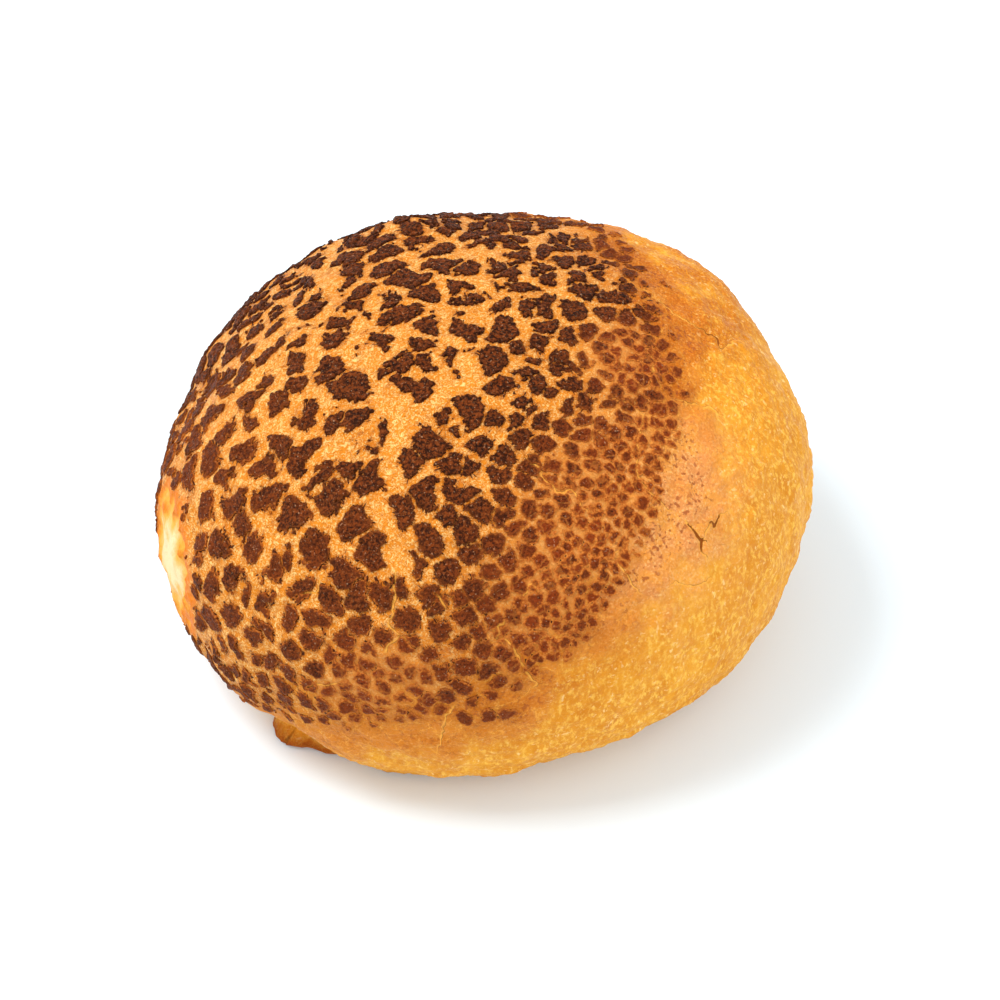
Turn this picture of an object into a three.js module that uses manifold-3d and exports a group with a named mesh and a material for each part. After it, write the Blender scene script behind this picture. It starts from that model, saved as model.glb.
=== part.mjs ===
// Tiger bread roll: a domed roll of baked dough with a crackled crust of dark flakes on its upper side.
// The dough, the foot of dough at its base and the larger flakes are fused into one solid.
// Units are millimetres and degrees. +Z is up, and azimuth 0 points along +X.
// The origin lies on the resting face, under the middle of the roll's box.

import * as THREE from "three";
import { mergeVertices } from "three/addons/utils/BufferGeometryUtils.js";
import Module from "manifold-3d";

const wasm = await Module();
wasm.setup();

const { clamp, degToRad, mapLinear, radToDeg } = THREE.MathUtils;
const UP = new THREE.Vector3(0, 0, 1);

// The dough
const PLAN_RADIUS = 52.7; // mean radius of the widest ring
const ROLL_HEIGHT = 64;
const WIDEST_HEIGHT = 27; // height of the widest ring above the resting face
const UNDER_REACH = 36.2; // how far below that ring the dough would swell without a tray
const DOME_FULLNESS = 2.1; // exponent of the dome's curve: 2 is an ellipse, more is squarer
const UNDER_FULLNESS = 2.5;
const RIM_ROUNDING = 2.5; // how softly the side turns into the resting face
const OVAL = { share: 0.011, azimuth: 28 };
const THREE_SIDED = { share: 0.015, azimuth: 113 };
const LEAN = { x: 5.7, y: -1 }; // how far the top leans sideways
const CENTRING = { x: -1.42, y: 0.08 }; // brings the middle of the roll's box over the origin
const SWELLINGS = [
  { middle: towards(90, 46), spread: 24, rise: -2.1 }, // flat back of the dome
  { middle: towards(118, 43), spread: 9, rise: 2.3 }, // ridge beside it
  { middle: towards(150, 32), spread: 10, rise: -0.8 },
  { middle: towards(172, 18), spread: 12, rise: -2.5 }, // flat flank behind the touching patch
  { middle: towards(60, 38), spread: 10, rise: 1.1 },
  { middle: towards(34, 30), spread: 12, rise: 1.1 }, // corner of the bare shoulder
  { middle: towards(16, 16), spread: 9, rise: -1.1 }, // hollow beside that corner
  { middle: towards(-2, -4), spread: 14, rise: 0.4 },
  { middle: towards(-32, -27), spread: 14, rise: 0.7 },
  { middle: towards(-65, -38), spread: 16, rise: -1.9 }, // tucked-in front of the base
  { middle: towards(-172, -9), spread: 9, rise: 0.4 },
  { middle: towards(-148, -26), spread: 10, rise: -2.8 }, // undercut above the foot
  { middle: towards(-125.4, -21.2), spread: 6.4, rise: -3.05 }, // hollow beside that undercut
  { middle: towards(-125.5, -12.3), spread: 5.7, rise: -0.5 },
];

// The facets of the dough
const SIDES_AROUND = 44;
const ROWS_UP = 22;
const LOWEST_ROW = -44; // elevation of the first row, inside the resting face

// The foot, a tongue of dough that ran out along the tray, and its tail
const FEET = [
  { azimuth: -131.7, reach: 46.7, length: 10.8, width: 10, height: 3.7 },
  { azimuth: -127.2, reach: 45, length: 12.1, width: 14.6, height: 4.4 },
];
const FOOT_SIDES = 14;
const FOOT_ROWS = 8;

// The crust
const SEED = 7;
const CRUST_MIDDLE = towards(-166, 60);
const CRUST_EAST = UP.clone().cross(CRUST_MIDDLE).normalize();
const CRUST_NORTH = CRUST_MIDDLE.clone().cross(CRUST_EAST);
const CRUST_EDGE = 84; // angle from its middle within which cells are tried
const BORDER = [ // bearings round its middle, each with the angle from it at which the flakes end
  [-180, 76], [-110, 82], [-62, 82], [-45, 77.5], [-30, 78], [-5, 80.5], [10, 80], [20, 76.5], [30, 74.5],
  [45, 70.5], [60, 70], [72, 68], [90, 66.5], [105, 69.5], [118, 71.5], [135, 76], [180, 76],
];
const REGIONS = [ // how the spacing of its cells changes with the angle from a middle
  { middle: towards(-164, 60), within: 34, until: 86, spacing: 7.4, last: 3.2 },
  { middle: towards(-50, 15), within: 28, until: 76, spacing: 1.9, last: 7.4 },
  { middle: towards(-106, 2), within: 8, until: 34, spacing: 2.6, last: 7.4 },
  { middle: towards(-25, 58), within: 6, until: 34, spacing: 2.3, last: 7.4 },
  { middle: towards(48, 46), within: 6, until: 30, spacing: 3.2, last: 7.4 },
];
const DARTS = 40000; // tries at placing a cell
const CELL_CROWDING = 0.8; // least distance between cells, as a share of their spacing
const SPLITS = [1, 1, 1, 2, 2, 3]; // how many flakes a coarse cell may break into
const SPLIT_FROM = 4.2; // spacing from which cells break at all
const SPLIT_OFFSET = 0.27; // how far its flakes move apart, as a share of the spacing
const WIDE_GAP = 0.27; // how fast the gaps between cells grow with their spacing
const NARROW_GAP = 0.12; // how fast those between the flakes of one cell grow
const GAPLESS_SPACING = 1.1; // spacing at which the gaps would close
const GAP_VARIATION = 0.45; // how much more or less the gaps between cells open
const WIDENINGS = [ // where those gaps are wider still
  { middle: towards(-138, -4), spread: 20, rise: 0.75 },
  { middle: towards(-106, 4), spread: 14, rise: 0.8 },
  { middle: towards(20, 62), spread: 16, rise: 0.5 },
  { middle: towards(172, 42), spread: 18, rise: 0.15 },
];
const NEIGHBOURS_WITHIN = 2; // distance to the cells that shape a flake, in spacings
const TOUCHING_PATCH = { middle: towards(-162, 0), spread: 11 }; // left bare by a neighbouring roll
const TEARS = [ // lines along which the crust pulled apart, each with its width
  {
    gape: 3.4,
    path: [towards(176, 55), towards(-147, 55.5), towards(-125, 51), towards(-120.5, 42), towards(-116, 34),
      towards(-109.5, 27)],
  },
  {
    gape: 2.8,
    path: [towards(-125, 51), towards(-114, 63), towards(-122, 76), towards(146, 83), towards(104, 60)],
  },
  { gape: 2.4, path: [towards(176, 55), towards(147, 40), towards(126, 28)] },
  { gape: 1.8, path: [towards(179, 41.5), towards(-170, 31), towards(-166, 20), towards(-171.5, 10)] },
  { gape: 3.2, path: [towards(79, 57), towards(71, 44), towards(62, 46.5)] },
];
const TEAR_MARGIN = 0.5; // room between a tear and the middle of a cell

// The flakes that are solid
const FLAKES = 180; // the largest ones
const FLAKE_SIDES = 7;
const FLAKE_RISE = 0.5; // above the dough at the flake's middle
const FLAKE_ROOT = 1; // below it
const FLAKE_ROUNDNESS = 10; // exponent of the corner rounding: more is sharper
const FLAKE_RAGGEDNESS = 0.1;
const FLAKE_LIMIT = 0.56; // longest reach from its middle, as a share of the spacing
const NARROWEST_FLAKE = 0.3;
const DARK_CRUST = 0x4b2819;

/** Unit vector from the dough's heart towards an azimuth and an elevation. */
function towards(azimuth, elevation) {
  return new THREE.Vector3().setFromSphericalCoords(1, degToRad(90 - elevation), degToRad(azimuth + 90))
    .applyAxisAngle(new THREE.Vector3(1, 0, 0), Math.PI / 2);
}

/** Angle between two unit vectors, in degrees. */
function degreesBetween(one, other) {
  return radToDeg(Math.acos(clamp(one.dot(other), -1, 1)));
}

/** The smaller of two lengths, rounded off where they come within the given blend. */
function softMin(one, other, blend) {
  const closeness = Math.max(blend - Math.abs(one - other), 0) / blend;
  return Math.min(one, other) - closeness * closeness * blend / 4;
}

/** Repeatable draws between 0 and 1. */
function makeDraws(seed) {
  let state = seed;
  return () => {
    state = (Math.imul(state, 1664525) + 1013904223) >>> 0;
    return state / 2 ** 32;
  };
}

/** Sum of soft round spots in a direction. */
function sumOfSpots(spots, direction) {
  const rises = spots.map(({ middle, spread, rise }) => (
    rise * Math.exp(-((degreesBetween(direction, middle) / spread) ** 2))));
  return rises.reduce((sum, rise) => sum + rise, 0);
}

/** Distance from the dough's heart to its skin. */
function skinReach(direction) {
  const azimuth = Math.atan2(direction.y, direction.x);
  const oval = OVAL.share * Math.cos(2 * (azimuth - degToRad(OVAL.azimuth)));
  const threeSided = THREE_SIDED.share * Math.cos(3 * (azimuth - degToRad(THREE_SIDED.azimuth)));
  const across = PLAN_RADIUS * (1 + oval + threeSided);
  const along = direction.z > 0 ? ROLL_HEIGHT - WIDEST_HEIGHT : UNDER_REACH;
  const fullness = direction.z > 0 ? DOME_FULLNESS : UNDER_FULLNESS;
  const level = Math.hypot(direction.x, direction.y) / across;
  const smooth = (level ** fullness + (Math.abs(direction.z) / along) ** fullness) ** (-1 / fullness);
  const reach = smooth + sumOfSpots(SWELLINGS, direction);
  return direction.z < 0 ? softMin(reach, -WIDEST_HEIGHT / direction.z, RIM_ROUNDING) : reach;
}

/** Point of the dough's skin in a direction from its heart. */
function skinPoint(direction) {
  const point = direction.clone().multiplyScalar(skinReach(direction)).addScaledVector(UP, WIDEST_HEIGHT);
  const lean = (point.z / ROLL_HEIGHT) ** 2;
  return point.add(new THREE.Vector3(LEAN.x * lean + CENTRING.x, LEAN.y * lean + CENTRING.y, 0));
}

/** Frame on the skin: its east, its north and the outward normal, with its origin on the skin. */
function skinFrame(direction) {
  const step = 0.02;
  const east = UP.clone().cross(direction).normalize();
  const north = direction.clone().cross(east);
  const origin = skinPoint(direction);
  const eastern = skinPoint(direction.clone().addScaledVector(east, step).normalize()).sub(origin);
  const northern = skinPoint(direction.clone().addScaledVector(north, step).normalize()).sub(origin);
  const normal = eastern.clone().cross(northern).normalize();
  const level = eastern.normalize();
  return { origin, east: level, north: normal.clone().cross(level), normal };
}

/** Whether a direction lies outside the border of the flakes. */
function isBeyondBorder(direction) {
  const bearing = radToDeg(Math.atan2(direction.dot(CRUST_NORTH), direction.dot(CRUST_EAST)));
  const next = Math.max(BORDER.findIndex(([turn]) => turn >= bearing), 1);
  const [start, first] = BORDER[next - 1];
  const [end, last] = BORDER[next];
  return degreesBetween(direction, CRUST_MIDDLE) > mapLinear(bearing, start, end, first, last);
}

/** Spacing of the crust's cells in a direction. */
function cellSpacing(direction) {
  return Math.min(...REGIONS.map(({ middle, within, until, spacing, last }) => {
    const angle = clamp(degreesBetween(direction, middle), within, until);
    return mapLinear(angle, within, until, spacing, last);
  }));
}

/** The straight stretches of all tears, halved so that they follow the skin, each with its gape. */
function tearStretches() {
  return TEARS.flatMap(({ gape, path }) => {
    const middles = path.slice(1).map((corner, index) => corner.clone().add(path[index]).normalize());
    const knots = path.flatMap((corner, index) => [corner, ...middles.slice(index, index + 1)]).map(skinPoint);
    return knots.slice(1).map((knot, index) => ({ gape, line: new THREE.Line3(knots[index], knot) }));
  });
}

/** Offset from a point to the nearest point of a stretch. */
function offsetTo(line, point) {
  return line.closestPointToPoint(point, true, new THREE.Vector3()).sub(point);
}

/** Throws darts at the crust and keeps those that leave room for one another. */
function scatterCells(stretches, draw) {
  const lowest = Math.cos(degToRad(CRUST_EDGE));
  const cells = [];
  for (let dart = 0; dart < DARTS; dart += 1) {
    const upward = mapLinear(draw(), 0, 1, lowest, 1);
    const turn = draw() * 2 * Math.PI;
    const sideways = Math.sqrt(1 - upward * upward);
    const direction = CRUST_MIDDLE.clone().multiplyScalar(upward)
      .addScaledVector(CRUST_EAST, sideways * Math.cos(turn))
      .addScaledVector(CRUST_NORTH, sideways * Math.sin(turn));
    const touching = degreesBetween(direction, TOUCHING_PATCH.middle) < TOUCHING_PATCH.spread;
    if (touching || isBeyondBorder(direction)) continue;
    const point = skinPoint(direction);
    const spacing = cellSpacing(direction);
    const torn = ({ gape, line }) => offsetTo(line, point).length() - gape / 2 < TEAR_MARGIN;
    const crowded = (cell) => cell.point.distanceTo(point) < CELL_CROWDING * (cell.spacing + spacing) / 2;
    if (!stretches.some(torn) && !cells.some(crowded)) cells.push({ direction, point, spacing });
  }
  return cells;
}

/** Breaks the coarse cells into flakes, each with a place on the skin and the cell that it came from. */
function breakCells(cells, draw) {
  const flakes = [];
  cells.forEach(({ direction: heading, spacing }, cell) => {
    const count = SPLITS[Math.floor(draw() * SPLITS.length)];
    const turn = draw() * 2 * Math.PI;
    const pieces = spacing < SPLIT_FROM ? 1 : count;
    const offset = pieces === 1 ? 0 : SPLIT_OFFSET * spacing / skinReach(heading);
    const east = UP.clone().cross(heading).normalize();
    const north = heading.clone().cross(east);
    for (let piece = 0; piece < pieces; piece += 1) {
      const angle = turn + piece * 2 * Math.PI / pieces;
      const direction = heading.clone()
        .addScaledVector(east, offset * Math.cos(angle))
        .addScaledVector(north, offset * Math.sin(angle))
        .normalize();
      const widening = 1 + sumOfSpots(WIDENINGS, direction);
      flakes.push({ cell, spacing, widening, openness: draw(), ...skinFrame(direction) });
    }
  });
  return flakes;
}

/** Half the width of the gap between two flakes. */
function halfGap(flake, other) {
  const opening = flake.spacing - GAPLESS_SPACING;
  if (other.cell === flake.cell) return NARROW_GAP * opening / 2;
  const openness = 1 + GAP_VARIATION * (flake.openness + other.openness - 1);
  return WIDE_GAP * opening * openness * flake.widening / 2;
}

/** Distances from a flake's middle to its edge, all the way round: half way to each neighbour, less the gap. */
function flakeReaches(flake, flakes, stretches, draw) {
  const limits = [];
  const limitBy = (offset, room) => {
    if (offset.length() > NEIGHBOURS_WITHIN * flake.spacing) return;
    const bearing = Math.atan2(offset.dot(flake.north), offset.dot(flake.east));
    limits.push({ bearing, room: Math.max(room, NARROWEST_FLAKE / 2) });
  };
  for (const other of flakes) {
    if (other === flake) continue;
    const offset = other.origin.clone().sub(flake.origin);
    limitBy(offset, offset.length() / 2 - halfGap(flake, other));
  }
  for (const { gape, line } of stretches) {
    const offset = offsetTo(line, flake.origin);
    limitBy(offset, offset.length() - gape / 2);
  }
  return Array.from({ length: FLAKE_SIDES }, (_, side) => {
    const angle = side * 2 * Math.PI / FLAKE_SIDES;
    let closeness = (FLAKE_LIMIT * flake.spacing) ** -FLAKE_ROUNDNESS;
    for (const { bearing, room } of limits) {
      const facing = Math.cos(angle - bearing);
      if (facing > 0) closeness += (facing / room) ** FLAKE_ROUNDNESS;
    }
    const ragged = 1 + FLAKE_RAGGEDNESS * mapLinear(draw(), 0, 1, -1, 1);
    return ragged * closeness ** (-1 / FLAKE_ROUNDNESS);
  });
}

/** Lays out the crust and returns its largest flakes with their outlines. */
function largestFlakes() {
  const draw = makeDraws(SEED);
  const stretches = tearStretches();
  const flakes = breakCells(scatterCells(stretches, draw), draw);
  for (const flake of flakes) {
    flake.reaches = flakeReaches(flake, flakes, stretches, draw);
    flake.area = flake.reaches.reduce((sum, reach) => sum + reach * reach, 0);
  }
  return flakes.sort((one, other) => other.area - one.area).slice(0, FLAKES);
}

/** Closed solid of a geometry whose corners are shared. */
function solidOf(geometry) {
  geometry.deleteAttribute("normal");
  geometry.deleteAttribute("uv");
  const merged = mergeVertices(geometry, 1e-3);
  return new wasm.Manifold(new wasm.Mesh({
    numProp: 3,
    vertProperties: new Float32Array(merged.attributes.position.array),
    triVerts: new Uint32Array(merged.index.array),
  }));
}

/** The dough: a ball with rows at chosen elevations, each corner moved out to the skin. */
function doughSolid() {
  const arc = [new THREE.Vector2(0, -1)];
  for (let row = 0; row < ROWS_UP; row += 1) {
    const elevation = degToRad(mapLinear(row, 0, ROWS_UP, LOWEST_ROW, 90));
    arc.push(new THREE.Vector2(Math.cos(elevation), Math.sin(elevation)));
  }
  arc.push(new THREE.Vector2(0, 1));
  const ball = new THREE.LatheGeometry(arc, SIDES_AROUND).rotateX(Math.PI / 2);
  const corners = ball.attributes.position;
  const corner = new THREE.Vector3();
  for (let index = 0; index < corners.count; index += 1) {
    const moved = skinPoint(corner.fromBufferAttribute(corners, index).normalize());
    corners.setXYZ(index, moved.x, moved.y, moved.z);
  }
  return solidOf(ball);
}

/** A part of the foot: a flattened ball lying half inside the dough, cut off level with the resting face. */
function footSolid({ azimuth, reach, length, width, height }) {
  const ball = new THREE.SphereGeometry(0.5, FOOT_SIDES, FOOT_ROWS).rotateX(Math.PI / 2);
  ball.scale(length, width, height);
  ball.translate(reach - length / 2, 0, height / 4);
  ball.rotateZ(degToRad(azimuth));
  ball.translate(CENTRING.x, CENTRING.y, 0);
  const block = new THREE.BoxGeometry(4 * PLAN_RADIUS, 4 * PLAN_RADIUS, ROLL_HEIGHT);
  block.translate(0, 0, ROLL_HEIGHT / 2);
  return solidOf(ball).intersect(solidOf(block));
}

/** One flake: its outline drawn on the skin and extruded through it. */
function flakeSolid({ origin, east, north, normal, reaches }) {
  const outline = new THREE.Shape(reaches.map((reach, side) => {
    const angle = side * 2 * Math.PI / reaches.length;
    return new THREE.Vector2(reach * Math.cos(angle), reach * Math.sin(angle));
  }));
  const plate = new THREE.ExtrudeGeometry(outline, { depth: FLAKE_RISE + FLAKE_ROOT, bevelEnabled: false });
  plate.translate(0, 0, -FLAKE_ROOT);
  plate.applyMatrix4(new THREE.Matrix4().makeBasis(east, north, normal).setPosition(origin));
  return solidOf(plate);
}

/** Geometry of a solid, ready for a mesh. */
function geometryOf(solid) {
  const { vertProperties, triVerts } = solid.getMesh();
  const geometry = new THREE.BufferGeometry();
  geometry.setAttribute("position", new THREE.BufferAttribute(vertProperties, 3));
  geometry.setIndex(new THREE.BufferAttribute(triVerts, 1));
  return geometry;
}

/** The whole roll. */
function rollMesh() {
  const pieces = [doughSolid(), ...FEET.map(footSolid), ...largestFlakes().map(flakeSolid)];
  const roll = pieces.reduce((sum, piece) => sum.add(piece));
  const mesh = new THREE.Mesh(geometryOf(roll), new THREE.MeshStandardMaterial({ color: DARK_CRUST }));
  mesh.name = "roll";
  return mesh;
}

const part = new THREE.Group();
part.name = "tiger_bread_roll";
part.add(rollMesh());
export default part;
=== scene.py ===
"""Looks of a tiger bread roll: baked dough under a crust of rice paste that tore into dark flakes.

Forms are worked out in millimetres and degrees and scaled to metres when they become meshes.
Azimuth 0 points along +X, and directions start at the dough's heart, in the middle of its widest ring.
"""

import logging
import math
from dataclasses import dataclass, field
from enum import Enum

import bmesh
import bpy
import numpy as np
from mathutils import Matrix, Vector
from mathutils.kdtree import KDTree


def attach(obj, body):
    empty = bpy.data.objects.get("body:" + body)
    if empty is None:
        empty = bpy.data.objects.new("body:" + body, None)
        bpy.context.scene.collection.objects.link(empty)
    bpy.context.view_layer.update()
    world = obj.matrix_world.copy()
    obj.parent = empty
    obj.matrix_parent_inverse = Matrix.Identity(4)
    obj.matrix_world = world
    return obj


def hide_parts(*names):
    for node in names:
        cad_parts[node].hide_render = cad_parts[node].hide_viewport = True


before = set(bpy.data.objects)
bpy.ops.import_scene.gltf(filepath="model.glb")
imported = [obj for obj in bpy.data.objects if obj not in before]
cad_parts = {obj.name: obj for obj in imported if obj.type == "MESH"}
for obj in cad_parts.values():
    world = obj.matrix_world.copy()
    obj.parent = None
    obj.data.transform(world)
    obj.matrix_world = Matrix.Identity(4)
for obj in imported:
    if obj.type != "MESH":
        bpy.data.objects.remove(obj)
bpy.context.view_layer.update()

Array = np.ndarray
Socket = bpy.types.NodeSocket
Colour = tuple[float, float, float, float]

LOG = logging.getLogger("tiger_bread_roll")
MILLIMETRE = 0.001
UP = np.array((0.0, 0.0, 1.0))
NODE = "roll"
BODY = "root"
WHITE = (1.0, 1.0, 1.0, 1.0)
SHARP_ANGLE = 55.0
DRAW_FACTOR = 1664525
DRAW_STEP = 1013904223
DRAW_RANGE = 2 ** 32
SCRAMBLE_PACE = 12.9898
SCRAMBLE_SIDE_PACE = 78.233
SCRAMBLE_SPREAD = 43758.5453


class SurfaceMap(str, Enum):
    """Values that the meshes hold at each vertex and the finishes read."""

    DEPTH = "depth"
    SPOKE = "spoke"
    FILM = "film"
    FINE = "fine"
    BROWNING = "browning"
    BLUSH = "blush"
    PATCH = "patch"
    CRACK = "crack"
    GAPE = "gape"
    UNDER = "under"
    TONE = "tone"
    RUDDY = "ruddy"
    FADING = "fading"
    FOOT = "foot"


class FlakeKind(Enum):
    """The two kinds of flakes: coarse ones that broke apart, and fine cells that stayed close together."""

    COARSE = "tiger_flakes"
    FINE = "tiger_cells"


def towards(azimuth: float, elevation: float) -> Array:
    """Unit vector from the dough's heart towards an azimuth and an elevation, both in degrees."""
    turn = math.radians(azimuth)
    tilt = math.radians(elevation)
    return np.array((math.cos(turn) * math.cos(tilt), math.sin(turn) * math.cos(tilt), math.sin(tilt)))


def degrees_between(directions: Array, middle: Array) -> Array:
    """Angles from each of many unit vectors to one unit vector, in degrees."""
    return np.degrees(np.arccos(np.clip(directions @ middle, -1.0, 1.0)))


def unit(vectors: Array) -> Array:
    """The same vectors at length 1."""
    return vectors / np.maximum(np.linalg.norm(vectors, axis=-1, keepdims=True), 1e-12)


def ease(values: Array, low: float, high: float) -> Array:
    """Smooth step from 0 at low to 1 at high."""
    share = np.clip((values - low) / (high - low), 0.0, 1.0)
    return share * share * (3.0 - 2.0 * share)


def soft_min(one: Array, other: Array, blend: float) -> Array:
    """The smaller of two lengths, rounded off where they come within the given blend."""
    closeness = np.maximum(blend - np.abs(one - other), 0.0) / blend
    return np.minimum(one, other) - closeness * closeness * blend / 4.0


def linear(value: float) -> float:
    """Linear share of light that a screen value from 0 to 255 stands for."""
    share = value / 255.0
    return share / 12.92 if share <= 0.04045 else ((share + 0.055) / 1.055) ** 2.4


def pigment(red: float, green: float, blue: float) -> Colour:
    """Linear colour of a paint that a screen shows as the given values from 0 to 255."""
    return (linear(red), linear(green), linear(blue), 1.0)


def scrambled(numbers: Array) -> Array:
    """Repeatable values between 0 and 1 that differ widely between neighbouring numbers."""
    return np.modf(np.abs(np.sin(numbers) * SCRAMBLE_SPREAD))[0]


def make_draws(seed: int, count: int) -> Array:
    """Repeatable draws between 0 and 1.

    Args:
        seed: Where the series starts.
        count: How many draws to make.

    Returns:
        The draws, in order.
    """
    series = np.empty(count)
    state = seed
    for index in range(count):
        state = (state * DRAW_FACTOR + DRAW_STEP) % DRAW_RANGE
        series[index] = state / DRAW_RANGE
    return series


def distance_to_path(points: Array, knots: Array) -> tuple[Array, Array, Array]:
    """Where points lie beside a path of straight stretches.

    Args:
        points: Points in space, one a row.
        knots: Corners of the path, one a row.

    Returns:
        Each point's distance from the path, how far along it the nearest spot lies as a share of
        its stretches, and the offset from that spot.
    """
    best = np.full(len(points), np.inf)
    along = np.zeros(len(points))
    offsets = np.zeros_like(points)
    stretches = len(knots) - 1
    for index in range(stretches):
        stretch = knots[index + 1] - knots[index]
        share = np.clip((points - knots[index]) @ stretch / (stretch @ stretch), 0.0, 1.0)
        offset = points - knots[index] - share[:, None] * stretch
        distance = np.linalg.norm(offset, axis=1)
        nearer = distance < best
        best = np.where(nearer, distance, best)
        along = np.where(nearer, (index + share) / stretches, along)
        offsets = np.where(nearer[:, None], offset, offsets)
    return best, along, offsets


@dataclass(frozen=True)
class Waves:
    """A smooth random field over space, made of plane waves of about one length.

    Attributes:
        length: Mean distance between crests, in millimetres.
        seed: Seed of the waves' headings, lengths and phases.
        strength: Factor on the field's values.
        stretch: Factors by which the field is drawn out along X, Y and Z.
        count: How many waves are added up.
    """

    length: float
    seed: int
    strength: float = 1.0
    stretch: tuple[float, float, float] = (1.0, 1.0, 1.0)
    count: int = 20

    def at(self, points: Array) -> Array:
        """Values of the field, mostly within twice its strength, at points given one a row."""
        draws = np.random.default_rng(self.seed)
        headings = unit(draws.normal(size=(self.count, 3)))
        paces = 2.0 * math.pi / (self.length * draws.uniform(0.7, 1.4, self.count))
        phases = draws.uniform(0.0, 2.0 * math.pi, self.count)
        drawn = points / np.array(self.stretch)
        total = np.zeros(len(points))
        for heading, pace, phase in zip(headings, paces, phases):
            total += np.cos(drawn @ (heading * pace) + phase)
        return self.strength * (total * math.sqrt(2.0 / self.count))


def rippled(waves: tuple[Waves, ...], points: Array) -> Array:
    """Sum of several fields at points given one a row."""
    return sum(wave.at(points) for wave in waves)


@dataclass(frozen=True)
class Drift:
    """A smooth random push, with one field of waves for each axis.

    Attributes:
        length: Mean distance between crests, in millimetres.
        seed: Seed of the waves for X. Those for Y and Z follow on.
        reach: Size of the push, in millimetres.
    """

    length: float
    seed: int
    reach: float

    def at(self, points: Array) -> Array:
        """The push at points given one a row."""
        pushes = [Waves(self.length, self.seed + axis, self.reach).at(points) for axis in range(3)]
        return np.stack(pushes, axis=1)


@dataclass(frozen=True)
class Bites:
    """Scattered hollows, where a field of waves rises past a threshold.

    Attributes:
        waves: The field.
        threshold: Value at which a hollow starts.
        most: Rise past the threshold at which it is deepest.
        depth: Depth for a rise of 1, in millimetres.
    """

    waves: Waves
    threshold: float
    most: float
    depth: float

    def at(self, points: Array) -> Array:
        """Depth of the hollows at points given one a row."""
        return self.depth * np.clip(self.waves.at(points) - self.threshold, 0.0, self.most)


@dataclass(frozen=True)
class Spot:
    """A soft round spot on the skin, with its strength at the middle.

    Attributes:
        azimuth: Direction of its middle, in degrees.
        elevation: Direction of its middle, in degrees.
        spread: How far from the middle it has faded to about a third, in degrees.
        rise: Its strength, in millimetres where it is a swelling.
    """

    azimuth: float
    elevation: float
    spread: float
    rise: float

    def at(self, directions: Array) -> Array:
        """Strength of the spot in each direction."""
        angles = degrees_between(directions, towards(self.azimuth, self.elevation))
        return self.rise * np.exp(-((angles / self.spread) ** 2))


def spotted(spots: tuple[Spot, ...], directions: Array) -> Array:
    """Sum of the strengths of several spots in each direction."""
    return sum(spot.at(directions) for spot in spots)


SWELLINGS = (
    Spot(90, 46, 24, -2.1),
    Spot(118, 43, 9, 2.3),
    Spot(150, 32, 10, -0.8),
    Spot(172, 18, 12, -2.5),
    Spot(60, 38, 10, 1.1),
    Spot(34, 30, 12, 1.1),
    Spot(16, 16, 9, -1.1),
    Spot(-2, -4, 14, 0.4),
    Spot(-32, -27, 14, 0.7),
    Spot(-65, -38, 16, -1.9),
    Spot(-172, -9, 9, 0.4),
    Spot(-148, -26, 10, -2.8),
    Spot(-125.4, -21.2, 6.4, -3.05),
    Spot(-125.5, -12.3, 5.7, -0.5),
)


@dataclass(frozen=True)
class Foot:
    """A tongue of dough that ran out along the tray: a flattened ball half inside the dough.

    Attributes:
        azimuth: Where it lies round the roll, in degrees.
        reach: Distance of its tip from the heart's axis.
        length: Size outwards, like width and height in millimetres.
        width: Size sideways.
        height: Size upwards before the tray cuts it.
    """

    azimuth: float
    reach: float
    length: float
    width: float
    height: float

    def far_side(self, directions: Array, heart_height: float) -> Array:
        """Distance from the heart to the foot's outer side.

        Args:
            directions: Unit vectors from the heart, one a row.
            heart_height: Height of the heart above the tray.

        Returns:
            One distance a direction, 0 where the direction misses the foot.
        """
        turn = math.radians(self.azimuth)
        outward = (math.cos(turn), math.sin(turn), 0.0)
        sideways = (-math.sin(turn), math.cos(turn), 0.0)
        axes = np.array((outward, sideways, UP))
        halves = np.array((self.length, self.width, self.height)) / 2.0
        start = np.array((self.length / 2.0 - self.reach, 0.0, heart_height - self.height / 4.0)) / halves
        rays = directions @ axes.T / halves
        square = np.sum(rays * rays, axis=1)
        half_linear = rays @ start
        inside = half_linear ** 2 - square * (start @ start - 1.0)
        return np.where(inside > 0.0, (np.sqrt(np.maximum(inside, 0.0)) - half_linear) / square, 0.0)


FEET = (Foot(-131.7, 46.7, 10.8, 10, 3.7), Foot(-127.2, 45, 12.1, 14.6, 4.4))


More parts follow.
